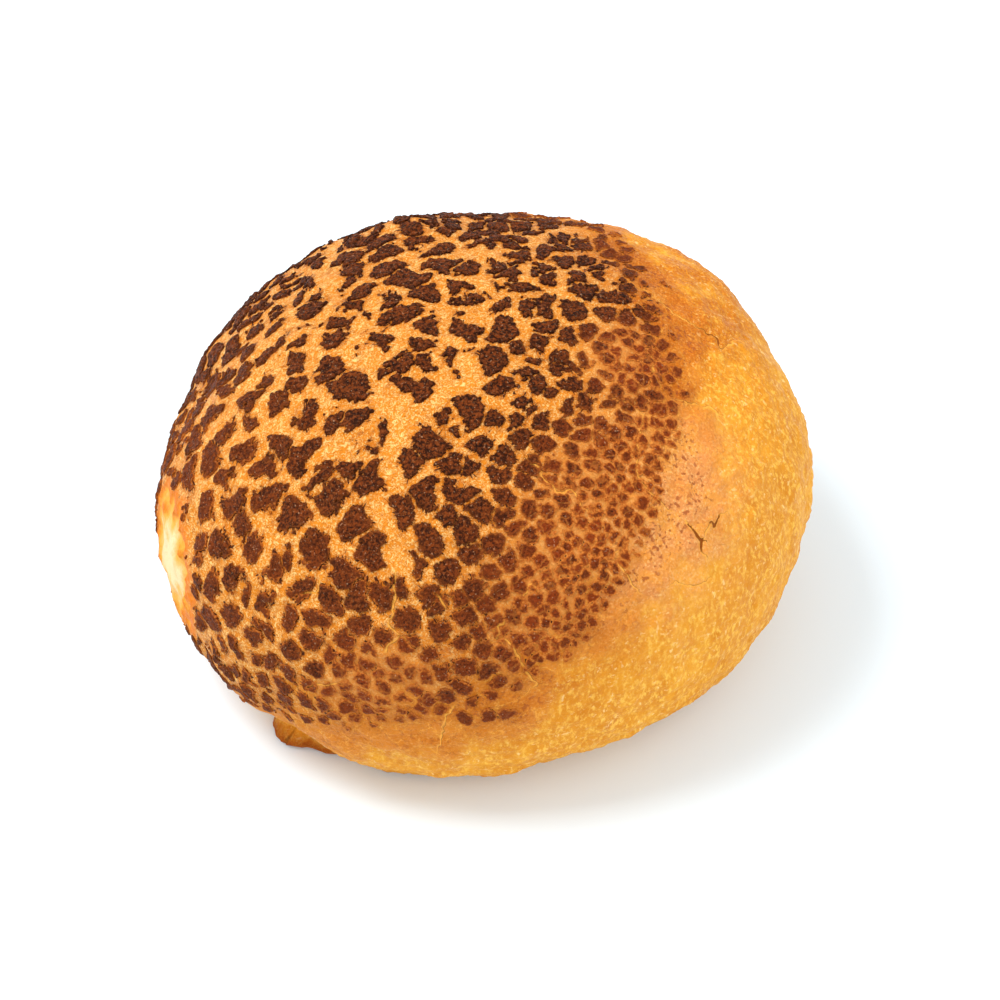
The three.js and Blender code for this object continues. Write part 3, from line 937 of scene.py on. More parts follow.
@dataclass
class TigerCrust:
    """Dark flakes: a sheet of paste wrapped over the dough, cut along the flakes' outlines.

    The sheet lies flat while it is cut, in degrees east and north of the crust's middle.
    """

    dough: Dough
    kind: FlakeKind
    half_span: float = 88.0
    divisions: int = 580
    snap: float = 0.04
    thickness: float = 0.34
    thinnest: float = 0.08
    edge_share: float = 0.7
    edge_rounding: float = 0.35
    full_spacing: float = 6.0
    rim_lift: float = 0.06
    rim_place: float = 0.5
    rim_width: float = 0.4
    crags: tuple[Waves, ...] = (Waves(1.3, 101, 0.045), Waves(0.75, 102, 0.035))
    fine_roughness: float = 0.4
    root: float = 0.35
    halo: float = 0.13

    def is_kept(self, own: Array) -> Array:
        """Whether the flakes with the given indices are of this kind."""
        coarse = self.dough.layout.spacings[own] >= self.dough.layout.coarse_from
        return coarse if self.kind is FlakeKind.COARSE else ~coarse

    def wrap(self, sheet: Array) -> Array:
        """Directions from the heart of points of the flat sheet, given as degrees east and north."""
        middle = towards(*self.dough.layout.middle)
        east, north = self.dough.form.sides(middle[None])
        angles = np.radians(np.hypot(sheet[:, 0], sheet[:, 1]))
        bearings = np.arctan2(sheet[:, 1], sheet[:, 0])
        outward = np.cos(bearings)[:, None] * east + np.sin(bearings)[:, None] * north
        return np.cos(angles)[:, None] * middle + np.sin(angles)[:, None] * outward

    def cut(self, shape: bmesh.types.BMesh, depths: Array) -> bmesh.types.BMLayerItem:
        """Cuts the sheet along the line of no depth and drops what lies outside.

        Args:
            shape: The flat sheet.
            depths: How deep each of its vertices lies inside a flake.

        Returns:
            The layer that marks the vertices at the foot of the flakes' sides.
        """
        depth = shape.verts.layers.float.new("cut_depth")
        foot = shape.verts.layers.float.new("foot")
        settled = np.where(np.abs(depths) < self.snap, 0.0, depths)
        for vertex, value in zip(shape.verts, settled):
            vertex[depth] = value
        seam = [vertex for vertex in shape.verts if vertex[depth] == 0.0]
        for edge in shape.edges[:]:
            one, other = edge.verts
            if one[depth] * other[depth] < 0.0:
                share = one[depth] / (one[depth] - other[depth])
                corner = bmesh.utils.edge_split(edge, one, share)[1]
                corner[depth] = 0.0
                seam.append(corner)
        bmesh.ops.connect_verts(shape, verts=seam)
        gaps = [face for face in shape.faces if min(vertex[depth] for vertex in face.verts) < 0.0
                or max(vertex[depth] for vertex in face.verts) <= 0.0]
        bmesh.ops.delete(shape, geom=gaps, context="FACES")
        rims = [edge for edge in shape.edges if edge.is_boundary]
        sides = bmesh.ops.extrude_edge_only(shape, edges=rims)
        for part in sides["geom"]:
            if isinstance(part, bmesh.types.BMVert):
                part[foot] = 1.0
        return foot

    def build(self) -> bpy.types.Object:
        """Makes the flakes' mesh, with the values that their finish reads."""
        shape = bmesh.new()
        segments = {"x_segments": self.divisions, "y_segments": self.divisions}
        bmesh.ops.create_grid(shape, **segments, size=self.half_span)
        sheet = np.array([vertex.co[:2] for vertex in shape.verts])
        outside = np.hypot(sheet[:, 0], sheet[:, 1]) > self.half_span
        depths = np.full(len(sheet), -1.0)
        directions = self.wrap(sheet[~outside])
        depth, own = self.dough.flake_depth(directions, self.dough.form.skin(directions))
        depth = depth + self.halo * self.dough.layout.fineness(directions)
        depths[~outside] = np.where(self.is_kept(own), depth, -1.0)
        foot = self.cut(shape, depths)
        feet = np.array([vertex[foot] for vertex in shape.verts])
        sheet = np.array([vertex.co[:2] for vertex in shape.verts])
        shape.verts.layers.float.remove(foot)
        shape.verts.layers.float.remove(shape.verts.layers.float["cut_depth"])
        mesh = settle(shape, self.kind.value)
        self.thicken(mesh, self.wrap(sheet), feet)
        return put_in_scene(mesh)

    def thicken(self, mesh: bpy.types.Mesh, directions: Array, feet: Array) -> None:
        """Wraps the cut sheet over the dough and gives the flakes their thickness.

        Args:
            mesh: The mesh of the cut sheet.
            directions: Direction of each vertex from the heart.
            feet: 1 for vertices at the foot of the flakes' sides, 0 for those on top.
        """
        points, normals, maps, own = self.dough.surface(directions)
        depth = maps[SurfaceMap.DEPTH]
        share = np.clip(self.dough.layout.spacings[own] / self.full_spacing, 0.0, 1.0)
        thickness = self.thinnest + (self.thickness - self.thinnest) * share
        crown = self.edge_share + (1.0 - self.edge_share) * ease(depth, 0.0, self.edge_rounding)
        rim = self.rim_lift * share * np.exp(-(((depth - self.rim_place) / self.rim_width) ** 2))
        rough = rippled(self.crags, points) * (self.fine_roughness + (1.0 - self.fine_roughness) * share)
        height = np.where(feet > 0.5, -self.root, thickness * crown + rim + rough)
        raised = points + height[:, None] * normals
        mesh.vertices.foreach_set("co", (raised * MILLIMETRE).ravel())
        add_maps(mesh, {
            SurfaceMap.DEPTH: depth,
            SurfaceMap.FINE: maps[SurfaceMap.FINE],
            SurfaceMap.TONE: scrambled(SCRAMBLE_PACE * (own + 1.0)),
            SurfaceMap.RUDDY: maps[SurfaceMap.RUDDY],
            SurfaceMap.FADING: maps[SurfaceMap.FADING],
        })


def settle(shape: bmesh.types.BMesh, name: str) -> bpy.types.Mesh:
    """Turns a finished shape into a mesh with the given name."""
    mesh = bpy.data.meshes.new(name)
    shape.to_mesh(mesh)
    shape.free()
    return mesh


def add_maps(mesh: bpy.types.Mesh, maps: dict[SurfaceMap, Array]) -> None:
    """Stores a value of each map at each vertex of a mesh."""
    for kind, values in maps.items():
        attribute = mesh.attributes.new(kind.value, "FLOAT", "POINT")
        attribute.data.foreach_set("value", np.asarray(values, dtype=np.float32))


def put_in_scene(mesh: bpy.types.Mesh) -> bpy.types.Object:
    """Puts a finished mesh into the scene as a smoothly shaded object of the same name."""
    mesh.shade_smooth()
    mesh.set_sharp_from_angle(angle=math.radians(SHARP_ANGLE))
    mesh.update()
    piece = bpy.data.objects.new(mesh.name, mesh)
    bpy.context.scene.collection.objects.link(piece)
    return piece


class Graph:
    """Adds the nodes of one material or node group and joins them."""

    def __init__(self, tree: bpy.types.NodeTree) -> None:
        """Starts with the tree's own nodes."""
        self.tree = tree

    def add(self, kind: str, inputs: dict, output: int | str = 0, **settings: object) -> Socket:
        """Adds a node.

        Args:
            kind: Type name of the node.
            inputs: Values or sockets for its inputs, by the input's name or place.
            output: Name or place of the output to return.
            **settings: Properties of the node.

        Returns:
            The chosen output socket.
        """
        node = self.tree.nodes.new(kind)
        for name, value in settings.items():
            setattr(node, name, value)
        self.feed(node, inputs)
        return node.outputs[output]

    def feed(self, node: bpy.types.Node, inputs: dict) -> None:
        """Sets a node's inputs, or joins sockets to them, by the input's name or place."""
        for key, value in inputs.items():
            if isinstance(value, Socket):
                self.tree.links.new(value, node.inputs[key])
            else:
                node.inputs[key].default_value = value

    def place(self, stretch: tuple[float, float, float] = (1.0, 1.0, 1.0)) -> Socket:
        """Object coordinates, squeezed along each axis by the given factors."""
        spot = self.add("ShaderNodeTexCoord", {}, "Object")
        if stretch == (1.0, 1.0, 1.0):
            return spot
        return self.add("ShaderNodeMapping", {"Vector": spot, "Scale": stretch})

    def shaken(self, spot: Socket, scale: float, reach: float) -> Socket:
        """Coordinates moved about by noise, by up to half the given reach in millimetres."""
        clouds = self.add("ShaderNodeTexNoise", {"Vector": spot, "Scale": scale, "Detail": 2.0}, "Color")
        inputs = {0: clouds, 1: (reach * MILLIMETRE,) * 3, 2: spot}
        return self.add("ShaderNodeVectorMath", inputs, operation="MULTIPLY_ADD")

    def value(self, kind: SurfaceMap) -> Socket:
        """A value that the mesh holds."""
        return self.add("ShaderNodeAttribute", {}, "Fac", attribute_name=kind.value)

    def vector(self, kind: SurfaceMap) -> Socket:
        """A vector that the mesh holds."""
        return self.add("ShaderNodeAttribute", {}, "Vector", attribute_name=kind.value)

    def noise(self, spot: Socket, scale: float | Socket, detail: float = 3.0, roughness: float = 0.55,
              swirl: float = 0.0) -> Socket:
        """Cloudy noise around 0.5, drawn out into swirls where that is wanted."""
        inputs = {"Vector": spot, "Scale": scale, "Detail": detail}
        return self.add("ShaderNodeTexNoise", inputs | {"Roughness": roughness, "Distortion": swirl})

    def cells(self, spot: Socket, scale: float | Socket, feature: str = "F1") -> Socket:
        """Distances in a pattern of cells, from the cells' middles or edges."""
        inputs = {"Vector": spot, "Scale": scale}
        return self.add("ShaderNodeTexVoronoi", inputs, "Distance", feature=feature)

    def fade(self, value: Socket, low: float, high: float, start: float = 0.0, end: float = 1.0) -> Socket:
        """Smooth step of a value from one end to the other between two limits."""
        inputs = {"Value": value, "From Min": low, "From Max": high, "To Min": start, "To Max": end}
        return self.add("ShaderNodeMapRange", inputs, interpolation_type="SMOOTHSTEP")

    def maths(self, operation: str, one: Socket | float, other: Socket | float = 0.0) -> Socket:
        """Result of one operation on two values."""
        return self.add("ShaderNodeMath", {0: one, 1: other}, operation=operation)

    def times(self, *factors: Socket | float) -> Socket:
        """Product of several values."""
        product = factors[0]
        for factor in factors[1:]:
            product = self.maths("MULTIPLY", product, factor)
        return product

    def tint(self, colour: Socket | Colour, tone: Socket | Colour, *shares: Socket | float) -> Socket:
        """A colour with a tone laid over it, by the product of the shares."""
        inputs = {0: self.times(*shares), 6: colour, 7: tone}
        return self.add("ShaderNodeMix", inputs, 2, data_type="RGBA")

    def bump(self, height: Socket, depth: float, normal: Socket | None = None) -> Socket:
        """Normal of a surface with a fine relief.

        Args:
            height: Relief, from 0 to about 1.
            depth: Size of a relief of 1, in millimetres.
            normal: Normal that the relief lies on, if any.

        Returns:
            The bent normal.
        """
        inputs = {"Height": height, "Distance": depth * MILLIMETRE, "Strength": 1.0}
        if normal is not None:
            inputs["Normal"] = normal
        return self.add("ShaderNodeBump", inputs)

    def dress(self, tones: dict[str, Socket | Colour | float], specular: float) -> None:
        """Gives finished tones to the material's shader, by the input's name, and sets its mirror shine."""
        shader = self.tree.nodes["Principled BSDF"]
        self.feed(shader, tones | {"Specular IOR Level": specular})


class BakedGrain:
    """Shared effect of baked crumb: a granular relief, a blotchy shade and scattered specks."""

    scale_names: tuple[str, str, str] = ("Grain scale", "Blotch scale", "Speck scale")

    def __init__(self) -> None:
        """Builds the group once."""
        self.tree = bpy.data.node_groups.new("baked_grain", "ShaderNodeTree")
        for name in self.scale_names:
            self.tree.interface.new_socket(name, in_out="INPUT", socket_type="NodeSocketFloat")
        graph = Graph(self.tree)
        given = self.tree.nodes.new("NodeGroupInput")
        spot = graph.place()
        grain = graph.noise(spot, given.outputs["Grain scale"], 4.0, 0.62)
        pebbles = graph.cells(spot, given.outputs["Grain scale"])
        blotch = graph.noise(spot, given.outputs["Blotch scale"], 5.0, 0.6)
        specks = graph.noise(spot, given.outputs["Speck scale"], 2.0, 0.5)
        results = {
            "Relief": graph.maths("SUBTRACT", grain, graph.times(pebbles, 0.4)),
            "Blotch": graph.fade(blotch, 0.3, 0.7),
            "Specks": graph.fade(specks, 0.62, 0.76),
        }
        for name in results:
            self.tree.interface.new_socket(name, in_out="OUTPUT", socket_type="NodeSocketFloat")
        graph.feed(self.tree.nodes.new("NodeGroupOutput"), results)

    def put(self, graph: Graph, scales: tuple[float, float, float]) -> bpy.types.Node:
        """Places the effect among a material's nodes, with its three scales, and returns its node."""
        node = graph.tree.nodes.new("ShaderNodeGroup")
        node.node_tree = self.tree
        graph.feed(node, dict(zip(self.scale_names, scales)))
        return node


def new_material(name: str) -> tuple[bpy.types.Material, Graph]:
    """A material with nodes, and the graph of its nodes."""
    material = bpy.data.materials.new(name)
    material.use_nodes = True
    return material, Graph(material.node_tree)


@dataclass(frozen=True)
class BakedDoughFinish:
    """Golden crust of the dough, its peach seams between flakes and the thin paste film at its edge."""

    gold: Colour = pigment(236, 160, 42)
    pale_gold: Colour = pigment(254, 198, 84)
    orange: Colour = pigment(206, 120, 24)
    speck: Colour = pigment(254, 212, 138)
    seam: Colour = pigment(226, 134, 32)
    fibre: Colour = pigment(254, 206, 128)
    # Dark seam tone: real dark flecks in the seams, and painted shade beside the flakes.
    dark_seam_and_shade: Colour = pigment(184, 90, 18)
    film_line: Colour = pigment(220, 140, 64)
    film_seam: Colour = pigment(222, 132, 36)
    fringe: Colour = pigment(78, 36, 14)
    blush: Colour = pigment(238, 156, 68)
    tan: Colour = pigment(224, 144, 80)
    mottle: Colour = pigment(154, 72, 34)
    peach: Colour = pigment(250, 190, 118)
    brown: Colour = pigment(186, 92, 10)
    cream: Colour = pigment(248, 216, 164)
    patch_yellow: Colour = pigment(244, 172, 66)
    patch_edge: Colour = pigment(224, 120, 22)
    # Crack tone: the dark groove of wide cracks, and the painted shadow along one side of cracks.
    crack: Colour = pigment(138, 62, 8)
    lip: Colour = pigment(255, 180, 74)
    caramel: Colour = pigment(150, 68, 6)
    caramel_top: Colour = pigment(206, 112, 22)
    # Rim tone near the tray: browned crust and painted contact shade together.
    rim: Colour = pigment(150, 82, 28)
    underside: Colour = pigment(190, 116, 50)
    roughness: tuple[float, float] = (0.42, 0.62)
    specular: float = 0.08
    grain_scales: tuple[float, float, float] = (1500.0, 330.0, 1700.0)
    fibre_scale: float = 1800.0
    fleck_scale: float = 2300.0
    film_fray: float = 2.4
    grain_depth: float = 0.28
    fibre_depth: float = 0.38
    groove_depth: float = 0.12

    def bare(self, graph: Graph) -> Socket:
        """Colour of the bare golden crust: blotches, folds, upright streaks and pale dashes."""
        upright = graph.place((1.0, 1.0, 0.5))
        broad = graph.fade(graph.noise(graph.place(), 42.0, 3.0), 0.36, 0.66)
        folds = graph.fade(graph.noise(graph.place((1.0, 1.0, 0.3)), 380.0, 3.0), 0.48, 0.66)
        mottled = graph.fade(graph.noise(upright, 700.0, 5.0, 0.65), 0.42, 0.66)
        streaks = graph.fade(graph.noise(upright, 1400.0, 5.0, 0.7), 0.46, 0.66)
        dashes = graph.fade(graph.noise(graph.place((1.0, 1.0, 0.45)), 1200.0, 2.0), 0.66, 0.73)
        colour = graph.tint(self.gold, self.orange, broad, 0.45)
        colour = graph.tint(colour, self.orange, folds, 0.45)
        colour = graph.tint(colour, self.orange, mottled, 0.55)
        colour = graph.tint(colour, self.pale_gold, streaks, 0.9)
        return graph.tint(colour, self.speck, dashes, 0.9)

    def seams(self, graph: Graph, fibres: Socket, flecks: Socket) -> Socket:
        """Colour of the dough between flakes: pale fibres on gold, painted shade beside flakes, darker in the
        film.
        """
        fading = graph.value(SurfaceMap.FADING)
        close = graph.fade(graph.value(SurfaceMap.DEPTH), -0.8, 0.0)
        colour = graph.tint(self.seam, self.fibre, graph.fade(fibres, 0.48, 0.6))
        colour = graph.tint(colour, self.dark_seam_and_shade, graph.fade(flecks, 0.52, 0.68), 0.6)
        # Painted shade: the seams darken next to the raised flakes.
        colour = graph.tint(colour, self.dark_seam_and_shade, close, 0.6)
        colour = graph.tint(colour, self.film_line, graph.value(SurfaceMap.FINE), 0.75)
        colour = graph.tint(colour, self.film_seam, fading, graph.fade(flecks, 0.35, 0.6, 0.55, 0.95))
        edges = graph.cells(graph.shaken(graph.place(), 420.0, 3.0), 300.0, "DISTANCE_TO_EDGE")
        threads = graph.fade(edges, 0.0, 0.07, 1.0, 0.0)
        return graph.tint(colour, self.lip, threads, fading, graph.fade(fibres, 0.4, 0.6), 0.85)

    def filmed(self, graph: Graph, colour: Socket, flecks: Socket) -> Socket:
        """Lays the film's tones over a colour: a blush, browned patches, dark mottles and pale crumbs."""
        spot = graph.place()
        film = graph.value(SurfaceMap.FILM)
        blush = graph.value(SurfaceMap.BLUSH)
        browning = graph.value(SurfaceMap.BROWNING)
        plates = graph.fade(graph.noise(spot, 240.0, 4.0, 0.6), 0.42, 0.6)
        peaches = graph.fade(graph.noise(spot, 2400.0, 4.0, 0.65), 0.5, 0.64)
        mottles = graph.fade(graph.noise(spot, 1350.0, 2.0, 0.5), 0.54, 0.66)
        crumbs = graph.fade(graph.noise(graph.place((1.0, 1.0, 1.6)), 900.0, 3.0, 0.6), 0.6, 0.7)
        colour = graph.tint(colour, graph.tint(self.blush, self.tan, plates), blush, 0.85)
        colour = graph.tint(colour, self.peach, peaches, blush, 0.7)
        colour = graph.tint(colour, self.brown, browning, graph.fade(flecks, 0.3, 0.65, 0.3, 1.0), 0.85)
        blushed = graph.times(blush, graph.fade(film, 3.0, 9.0, 0.25, 1.0))
        browned = graph.times(browning, graph.fade(film, 0.0, 3.0))
        colour = graph.tint(colour, self.mottle, mottles, graph.maths("MAXIMUM", blushed, browned), 0.75)
        return graph.tint(colour, self.speck, crumbs, graph.fade(film, -2.0, 6.0, 1.0, 0.0), 0.6)

    def fringed(self, graph: Graph, colour: Socket, flecks: Socket, film: Socket) -> Socket:
        """Lays the dark frayed fringe of the flakes over a colour, where the paste reaches."""
        spikes = graph.noise(graph.vector(SurfaceMap.SPOKE), 7.0, 3.0, 0.7)
        spikes = graph.fade(spikes, 0.4, 0.68, -0.05, 0.5)
        teeth = graph.maths("MAXIMUM", spikes, graph.fade(flecks, 0.5, 0.66, 0.0, 0.25))
        coarse = graph.fade(graph.value(SurfaceMap.FINE), 0.1, 0.7, 1.0, 0.15)
        frayed = graph.maths("ADD", graph.value(SurfaceMap.DEPTH), graph.times(teeth, coarse))
        return graph.tint(colour, self.fringe, graph.fade(frayed, 0.0, 0.1), film)

    def torn(self, graph: Graph, colour: Socket, flecks: Socket) -> Socket:
        """Lays the pale patch over a colour, from its browned edge to its cream middle."""
        uneven = graph.fade(flecks, 0.3, 0.7, -0.05, 0.05)
        inside = graph.maths("ADD", graph.value(SurfaceMap.PATCH), uneven)
        colour = graph.tint(colour, self.patch_edge, graph.fade(inside, -0.25, 0.0))
        colour = graph.tint(colour, self.patch_yellow, graph.fade(inside, 0.0, 0.25))
        return graph.tint(colour, self.cream, graph.fade(inside, 0.25, 0.7))

    def cracked(self, graph: Graph, colour: Socket) -> tuple[Socket, Socket]:
        """Draws the cracks over a colour.

        Args:
            graph: The material's nodes.
            colour: Colour of the skin without cracks.

        Returns:
            The colour with a pale lip, a painted shadow at one side and a dark groove where a crack
            gapes wide, and the share of the groove.
        """
        across = graph.value(SurfaceMap.CRACK)
        gape = graph.value(SurfaceMap.GAPE)
        outside = graph.maths("SUBTRACT", graph.maths("ABSOLUTE", across), gape)
        lip = graph.fade(outside, -0.05, 0.22, 1.0, 0.0)
        colour = graph.tint(colour, self.lip, lip, graph.fade(gape, 0.02, 0.1), 0.8)
        # Painted shadow: a thin dark line along one side of each crack.
        beside = graph.maths("ABSOLUTE", graph.maths("SUBTRACT", across, 0.16))
        shade = graph.fade(beside, 0.0, 0.12, 1.0, 0.0)
        colour = graph.tint(colour, self.crack, shade, graph.fade(gape, 0.04, 0.1), 0.7)
        groove = graph.times(graph.fade(outside, -0.08, 0.04, 1.0, 0.0), graph.fade(gape, 0.12, 0.17))
        return graph.tint(colour, self.crack, groove, 0.92), groove

    def based(self, graph: Graph, colour: Socket, fibres: Socket) -> Socket:
        """Lays the browned rim with painted contact shade, the caramel of the feet and the underside's tone
        over a colour.
        """
        height = graph.add("ShaderNodeSeparateXYZ", {"Vector": graph.place()}, "Z")
        # Darker within about 2 mm of the tray: partly browned crust, partly painted contact shade.
        rim = graph.fade(height, 0.2 * MILLIMETRE, 2.2 * MILLIMETRE, 0.6, 0.0)
        colour = graph.tint(colour, self.rim, rim)
        top = graph.fade(height, 1.0 * MILLIMETRE, 3.6 * MILLIMETRE)
        caramel = graph.tint(self.caramel, self.caramel_top, top)
        baked = graph.fade(fibres, 0.4, 0.7, 1.0, 0.6)
        colour = graph.tint(colour, caramel, graph.value(SurfaceMap.FOOT), baked)
        return graph.tint(colour, self.underside, graph.value(SurfaceMap.UNDER), 0.8)

    def material(self, grain_group: BakedGrain) -> bpy.types.Material:
        """Builds the material.

        Args:
            grain_group: The shared grain effect.

        Returns:
            The material.
        """
        material, graph = new_material("baked_dough")
        grain = grain_group.put(graph, self.grain_scales)
        relief = grain.outputs["Relief"]
        fibres = graph.noise(graph.place(), self.fibre_scale, 5.0, 0.68, 1.6)
        flecks = graph.noise(graph.place(), self.fleck_scale, 4.0, 0.65)
        edge = graph.maths("ADD", graph.value(SurfaceMap.FILM), graph.times(relief, self.film_fray))
        film = graph.fade(edge, -1.5, 4.5)
        colour = graph.tint(self.bare(graph), self.seams(graph, fibres, flecks), film)
        colour = self.filmed(graph, colour, flecks)
        colour = self.fringed(graph, colour, flecks, film)
        colour = self.torn(graph, colour, flecks)
        colour, groove = self.cracked(graph, colour)
        colour = self.based(graph, colour, fibres)
        near_flakes = graph.fade(graph.value(SurfaceMap.DEPTH), -3.0, -0.1, 0.5, 1.0)
        normal = graph.bump(relief, self.grain_depth)
        normal = graph.bump(graph.times(fibres, near_flakes, film), self.fibre_depth, normal)
        normal = graph.bump(graph.times(groove, -1.0), self.groove_depth, normal)
        gloss = graph.fade(grain.outputs["Blotch"], 0.0, 1.0, *self.roughness)
        graph.dress({"Base Color": colour, "Normal": normal, "Roughness": gloss}, self.specular)
        return material


@dataclass(frozen=True)
class TigerPasteFinish:
    """Dark baked rice paste: granular brown with reddish middles and a few painted glints, thin in the film.
    """

    dark: Colour = pigment(42, 18, 8)
    brown: Colour = pigment(124, 58, 20)
    grit: Colour = pigment(142, 80, 38)
    red: Colour = pigment(140, 62, 18)
    ruddy: Colour = pigment(124, 54, 18)
    thin: Colour = pigment(140, 56, 16)
    faded: Colour = pigment(122, 52, 14)
    halo: Colour = pigment(182, 90, 28)
    net: Colour = pigment(206, 124, 52)
    # Pale specks that stand in for tiny highlights on the grainy paste: painted glints.
    painted_glint: Colour = pigment(214, 168, 130)
    rim: Colour = pigment(52, 22, 8)
    roughness: tuple[float, float] = (0.48, 0.7)
    specular: float = 0.06
    grain_scales: tuple[float, float, float] = (1900.0, 1500.0, 2800.0)
    grit_scale: float = 2700.0
    grain_depth: float = 0.6

    def paste(self, graph: Graph, grains: Socket, specks: Socket) -> Socket:
        """Colour of a flake: dark and brown patches, a redder middle, a dark rim, grit and painted glints."""
        spot = graph.place()
        depth = graph.value(SurfaceMap.DEPTH)
        tone = graph.value(SurfaceMap.TONE)
        patches = graph.fade(graph.noise(spot, 1700.0, 4.0, 0.7), 0.42, 0.6)
        clumps = graph.fade(graph.noise(spot, 1500.0, 3.0), 0.48, 0.7)
        middle = graph.times(graph.fade(depth, 0.4, 1.5), graph.fade(tone, 0.1, 0.9, 0.1, 1.0))
        thinness = graph.fade(tone, 0.1, 0.9, 0.35, 1.0)
        colour = graph.tint(self.dark, self.brown, patches)
        colour = graph.tint(colour, self.red, clumps, middle, 0.7)
        colour = graph.tint(colour, self.ruddy, graph.value(SurfaceMap.RUDDY), 0.55)
        colour = graph.tint(colour, self.thin, graph.value(SurfaceMap.FINE), thinness)
        colour = graph.tint(colour, self.rim, graph.fade(depth, 0.1, 0.6, 1.0, 0.0), 0.4)
        colour = graph.tint(colour, self.grit, graph.fade(grains, 0.56, 0.7), 0.7)
        colour = graph.tint(colour, self.dark, graph.fade(grains, 0.34, 0.46, 0.85, 0.0))
        # Painted glints on the paste.
        return graph.tint(colour, self.painted_glint, specks, 0.5)

    def thinned(self, graph: Graph, colour: Socket, grains: Socket) -> Socket:
        """Fades a colour towards the border of the crust, nets the fine cells and lightens thin edges."""
        fine = graph.value(SurfaceMap.FINE)
        fading = graph.value(SurfaceMap.FADING)
        colour = graph.tint(colour, self.faded, graph.fade(fading, 0.2, 1.0), 0.4)
        lines = graph.cells(graph.shaken(graph.place(), 900.0, 1.1), 430.0, "DISTANCE_TO_EDGE")
        lines = graph.fade(lines, 0.0, 0.1, 1.0, 0.0)
        colour = graph.tint(colour, self.net, lines, graph.fade(fine, 0.35, 0.9), 0.35)
        uneven = graph.fade(grains, 0.3, 0.7, -0.16, 0.16)
        inside = graph.maths("ADD", graph.value(SurfaceMap.DEPTH), uneven)
        thinness = graph.maths("MAXIMUM", fine, graph.times(fading, 0.8))
        thinness = graph.maths("MAXIMUM", thinness, graph.times(graph.value(SurfaceMap.RUDDY), 0.75))
        colour = graph.tint(colour, self.halo, graph.fade(inside, 0.0, 0.36, 1.0, 0.0), thinness, 0.9)
        return graph.tint(colour, self.net, graph.fade(inside, -0.16, 0.14, 1.0, 0.0), thinness)

    def material(self, grain_group: BakedGrain) -> bpy.types.Material:
        """Builds the material.

        Args:
            grain_group: The shared grain effect.

        Returns:
            The material.
        """
        material, graph = new_material("tiger_paste")
        grain = grain_group.put(graph, self.grain_scales)
        grains = graph.noise(graph.place(), self.grit_scale, 3.0, 0.6)
        colour = self.paste(graph, grains, grain.outputs["Specks"])
        colour = self.thinned(graph, colour, grains)
        normal = graph.bump(grain.outputs["Relief"], self.grain_depth)
        gloss = graph.fade(grain.outputs["Blotch"], 0.0, 1.0, *self.roughness)
        graph.dress({"Base Color": colour, "Normal": normal, "Roughness": gloss}, self.specular)
        return material


@dataclass(frozen=True)
class Lamp:
    """A soft square light.

    Attributes:
        azimuth: Direction it stands in, in degrees.
        elevation: Height above the floor as an angle, in degrees.
        distance: Distance from the roll, in metres.
        size: Length of its sides, in metres.
        power: Its power, in watts.
    """

    azimuth: float
    elevation: float
    distance: float
    size: float
    power: float


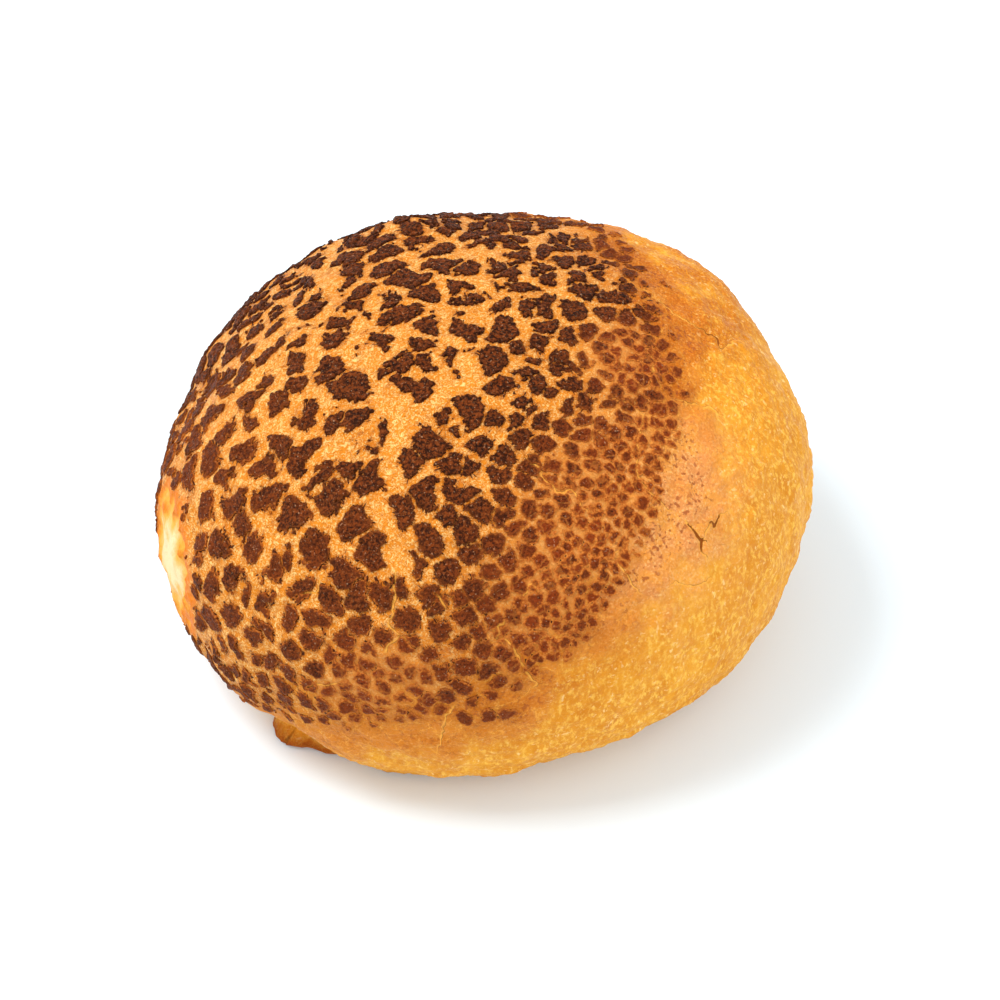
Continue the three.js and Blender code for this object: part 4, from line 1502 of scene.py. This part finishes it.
@dataclass
class Studio:
    """A plain white floor, soft light and the camera."""

    front: float = -90.0
    elevation: float = 44.0
    distance: float = 0.456
    target: tuple[float, float, float] = (-0.00142, 0.00008, 0.0288)
    lens: float = 100.0
    sensor: float = 36.0
    shift: tuple[float, float] = (0.0266, -0.0315)
    floor_size: float = 3.0
    floor_white: Colour = (0.75, 0.86, 0.93, 1.0)
    floor_glow: float = 0.1
    floor_roughness: float = 0.9
    sky: float = 0.88
    lamps: tuple[Lamp, ...] = (Lamp(-176, 62, 0.8, 0.35, 5.0), Lamp(-35, 40, 1.0, 1.0, 2.6))

    def floor(self) -> None:
        """Lays the floor."""
        shape = bmesh.new()
        bmesh.ops.create_grid(shape, x_segments=1, y_segments=1, size=self.floor_size / 2.0)
        mesh = settle(shape, "floor")
        material, graph = new_material("white_floor")
        tones = {"Base Color": self.floor_white, "Roughness": self.floor_roughness}
        glow = {"Emission Color": WHITE, "Emission Strength": self.floor_glow}
        graph.dress(tones | glow, 0.0)
        mesh.materials.append(material)
        floor = bpy.data.objects.new("floor", mesh)
        bpy.context.scene.collection.objects.link(floor)

    def stand(self, data: bpy.types.ID, azimuth: float, elevation: float,
              distance: float) -> bpy.types.Object:
        """Puts up a lamp or a camera, turned towards the target.

        Args:
            data: The lamp or camera.
            azimuth: Direction from the target that it stands in, in degrees.
            elevation: Height above the target as an angle, in degrees.
            distance: Distance from the target, in metres.

        Returns:
            The object that holds it.
        """
        target = Vector(self.target)
        spot = target + distance * Vector(towards(azimuth, elevation))
        holder = bpy.data.objects.new(data.name, data)
        holder.location = spot
        holder.rotation_euler = (target - spot).to_track_quat("-Z", "Y").to_euler()
        bpy.context.scene.collection.objects.link(holder)
        return holder

    def light(self) -> None:
        """Sets the sky and the lamps."""
        world = bpy.data.worlds.new("studio")
        world.use_nodes = True
        background = world.node_tree.nodes["Background"]
        background.inputs["Color"].default_value = WHITE
        background.inputs["Strength"].default_value = self.sky
        bpy.context.scene.world = world
        bpy.context.scene.view_settings.view_transform = "Standard"
        for index, lamp in enumerate(self.lamps):
            light = bpy.data.lights.new(f"lamp_{index}", "AREA")
            light.size = lamp.size
            light.energy = lamp.power
            self.stand(light, lamp.azimuth, lamp.elevation, lamp.distance)

    def camera(self) -> None:
        """Sets the camera."""
        camera = bpy.data.cameras.new("camera")
        camera.lens = self.lens
        camera.sensor_width = self.sensor
        camera.shift_x, camera.shift_y = self.shift
        bpy.context.scene.camera = self.stand(camera, self.front, self.elevation, self.distance)


def fit(piece: bpy.types.Object, material: bpy.types.Material) -> None:
    """Dresses a finished piece and gives it its place in the frame."""
    piece.data.materials.append(material)
    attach(piece, BODY)
    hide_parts(NODE)
    piece.data.calc_loop_triangles()
    LOG.info("%s: %d triangles", piece.name, len(piece.data.loop_triangles))


def main() -> None:
    """Builds the roll and its studio."""
    logging.basicConfig(level=logging.INFO)
    studio = Studio()
    studio.floor()
    studio.light()
    studio.camera()
    form = RollForm()
    layout = CrustLayout(form)
    LOG.info("crust layout: %d flakes", len(layout.origins))
    grain = BakedGrain()
    dough = Dough(form, layout)
    fit(dough.build(), BakedDoughFinish().material(grain))
    paste = TigerPasteFinish().material(grain)
    for kind in FlakeKind:
        fit(TigerCrust(dough, kind).build(), paste)


if __name__ == "__main__":
    main()
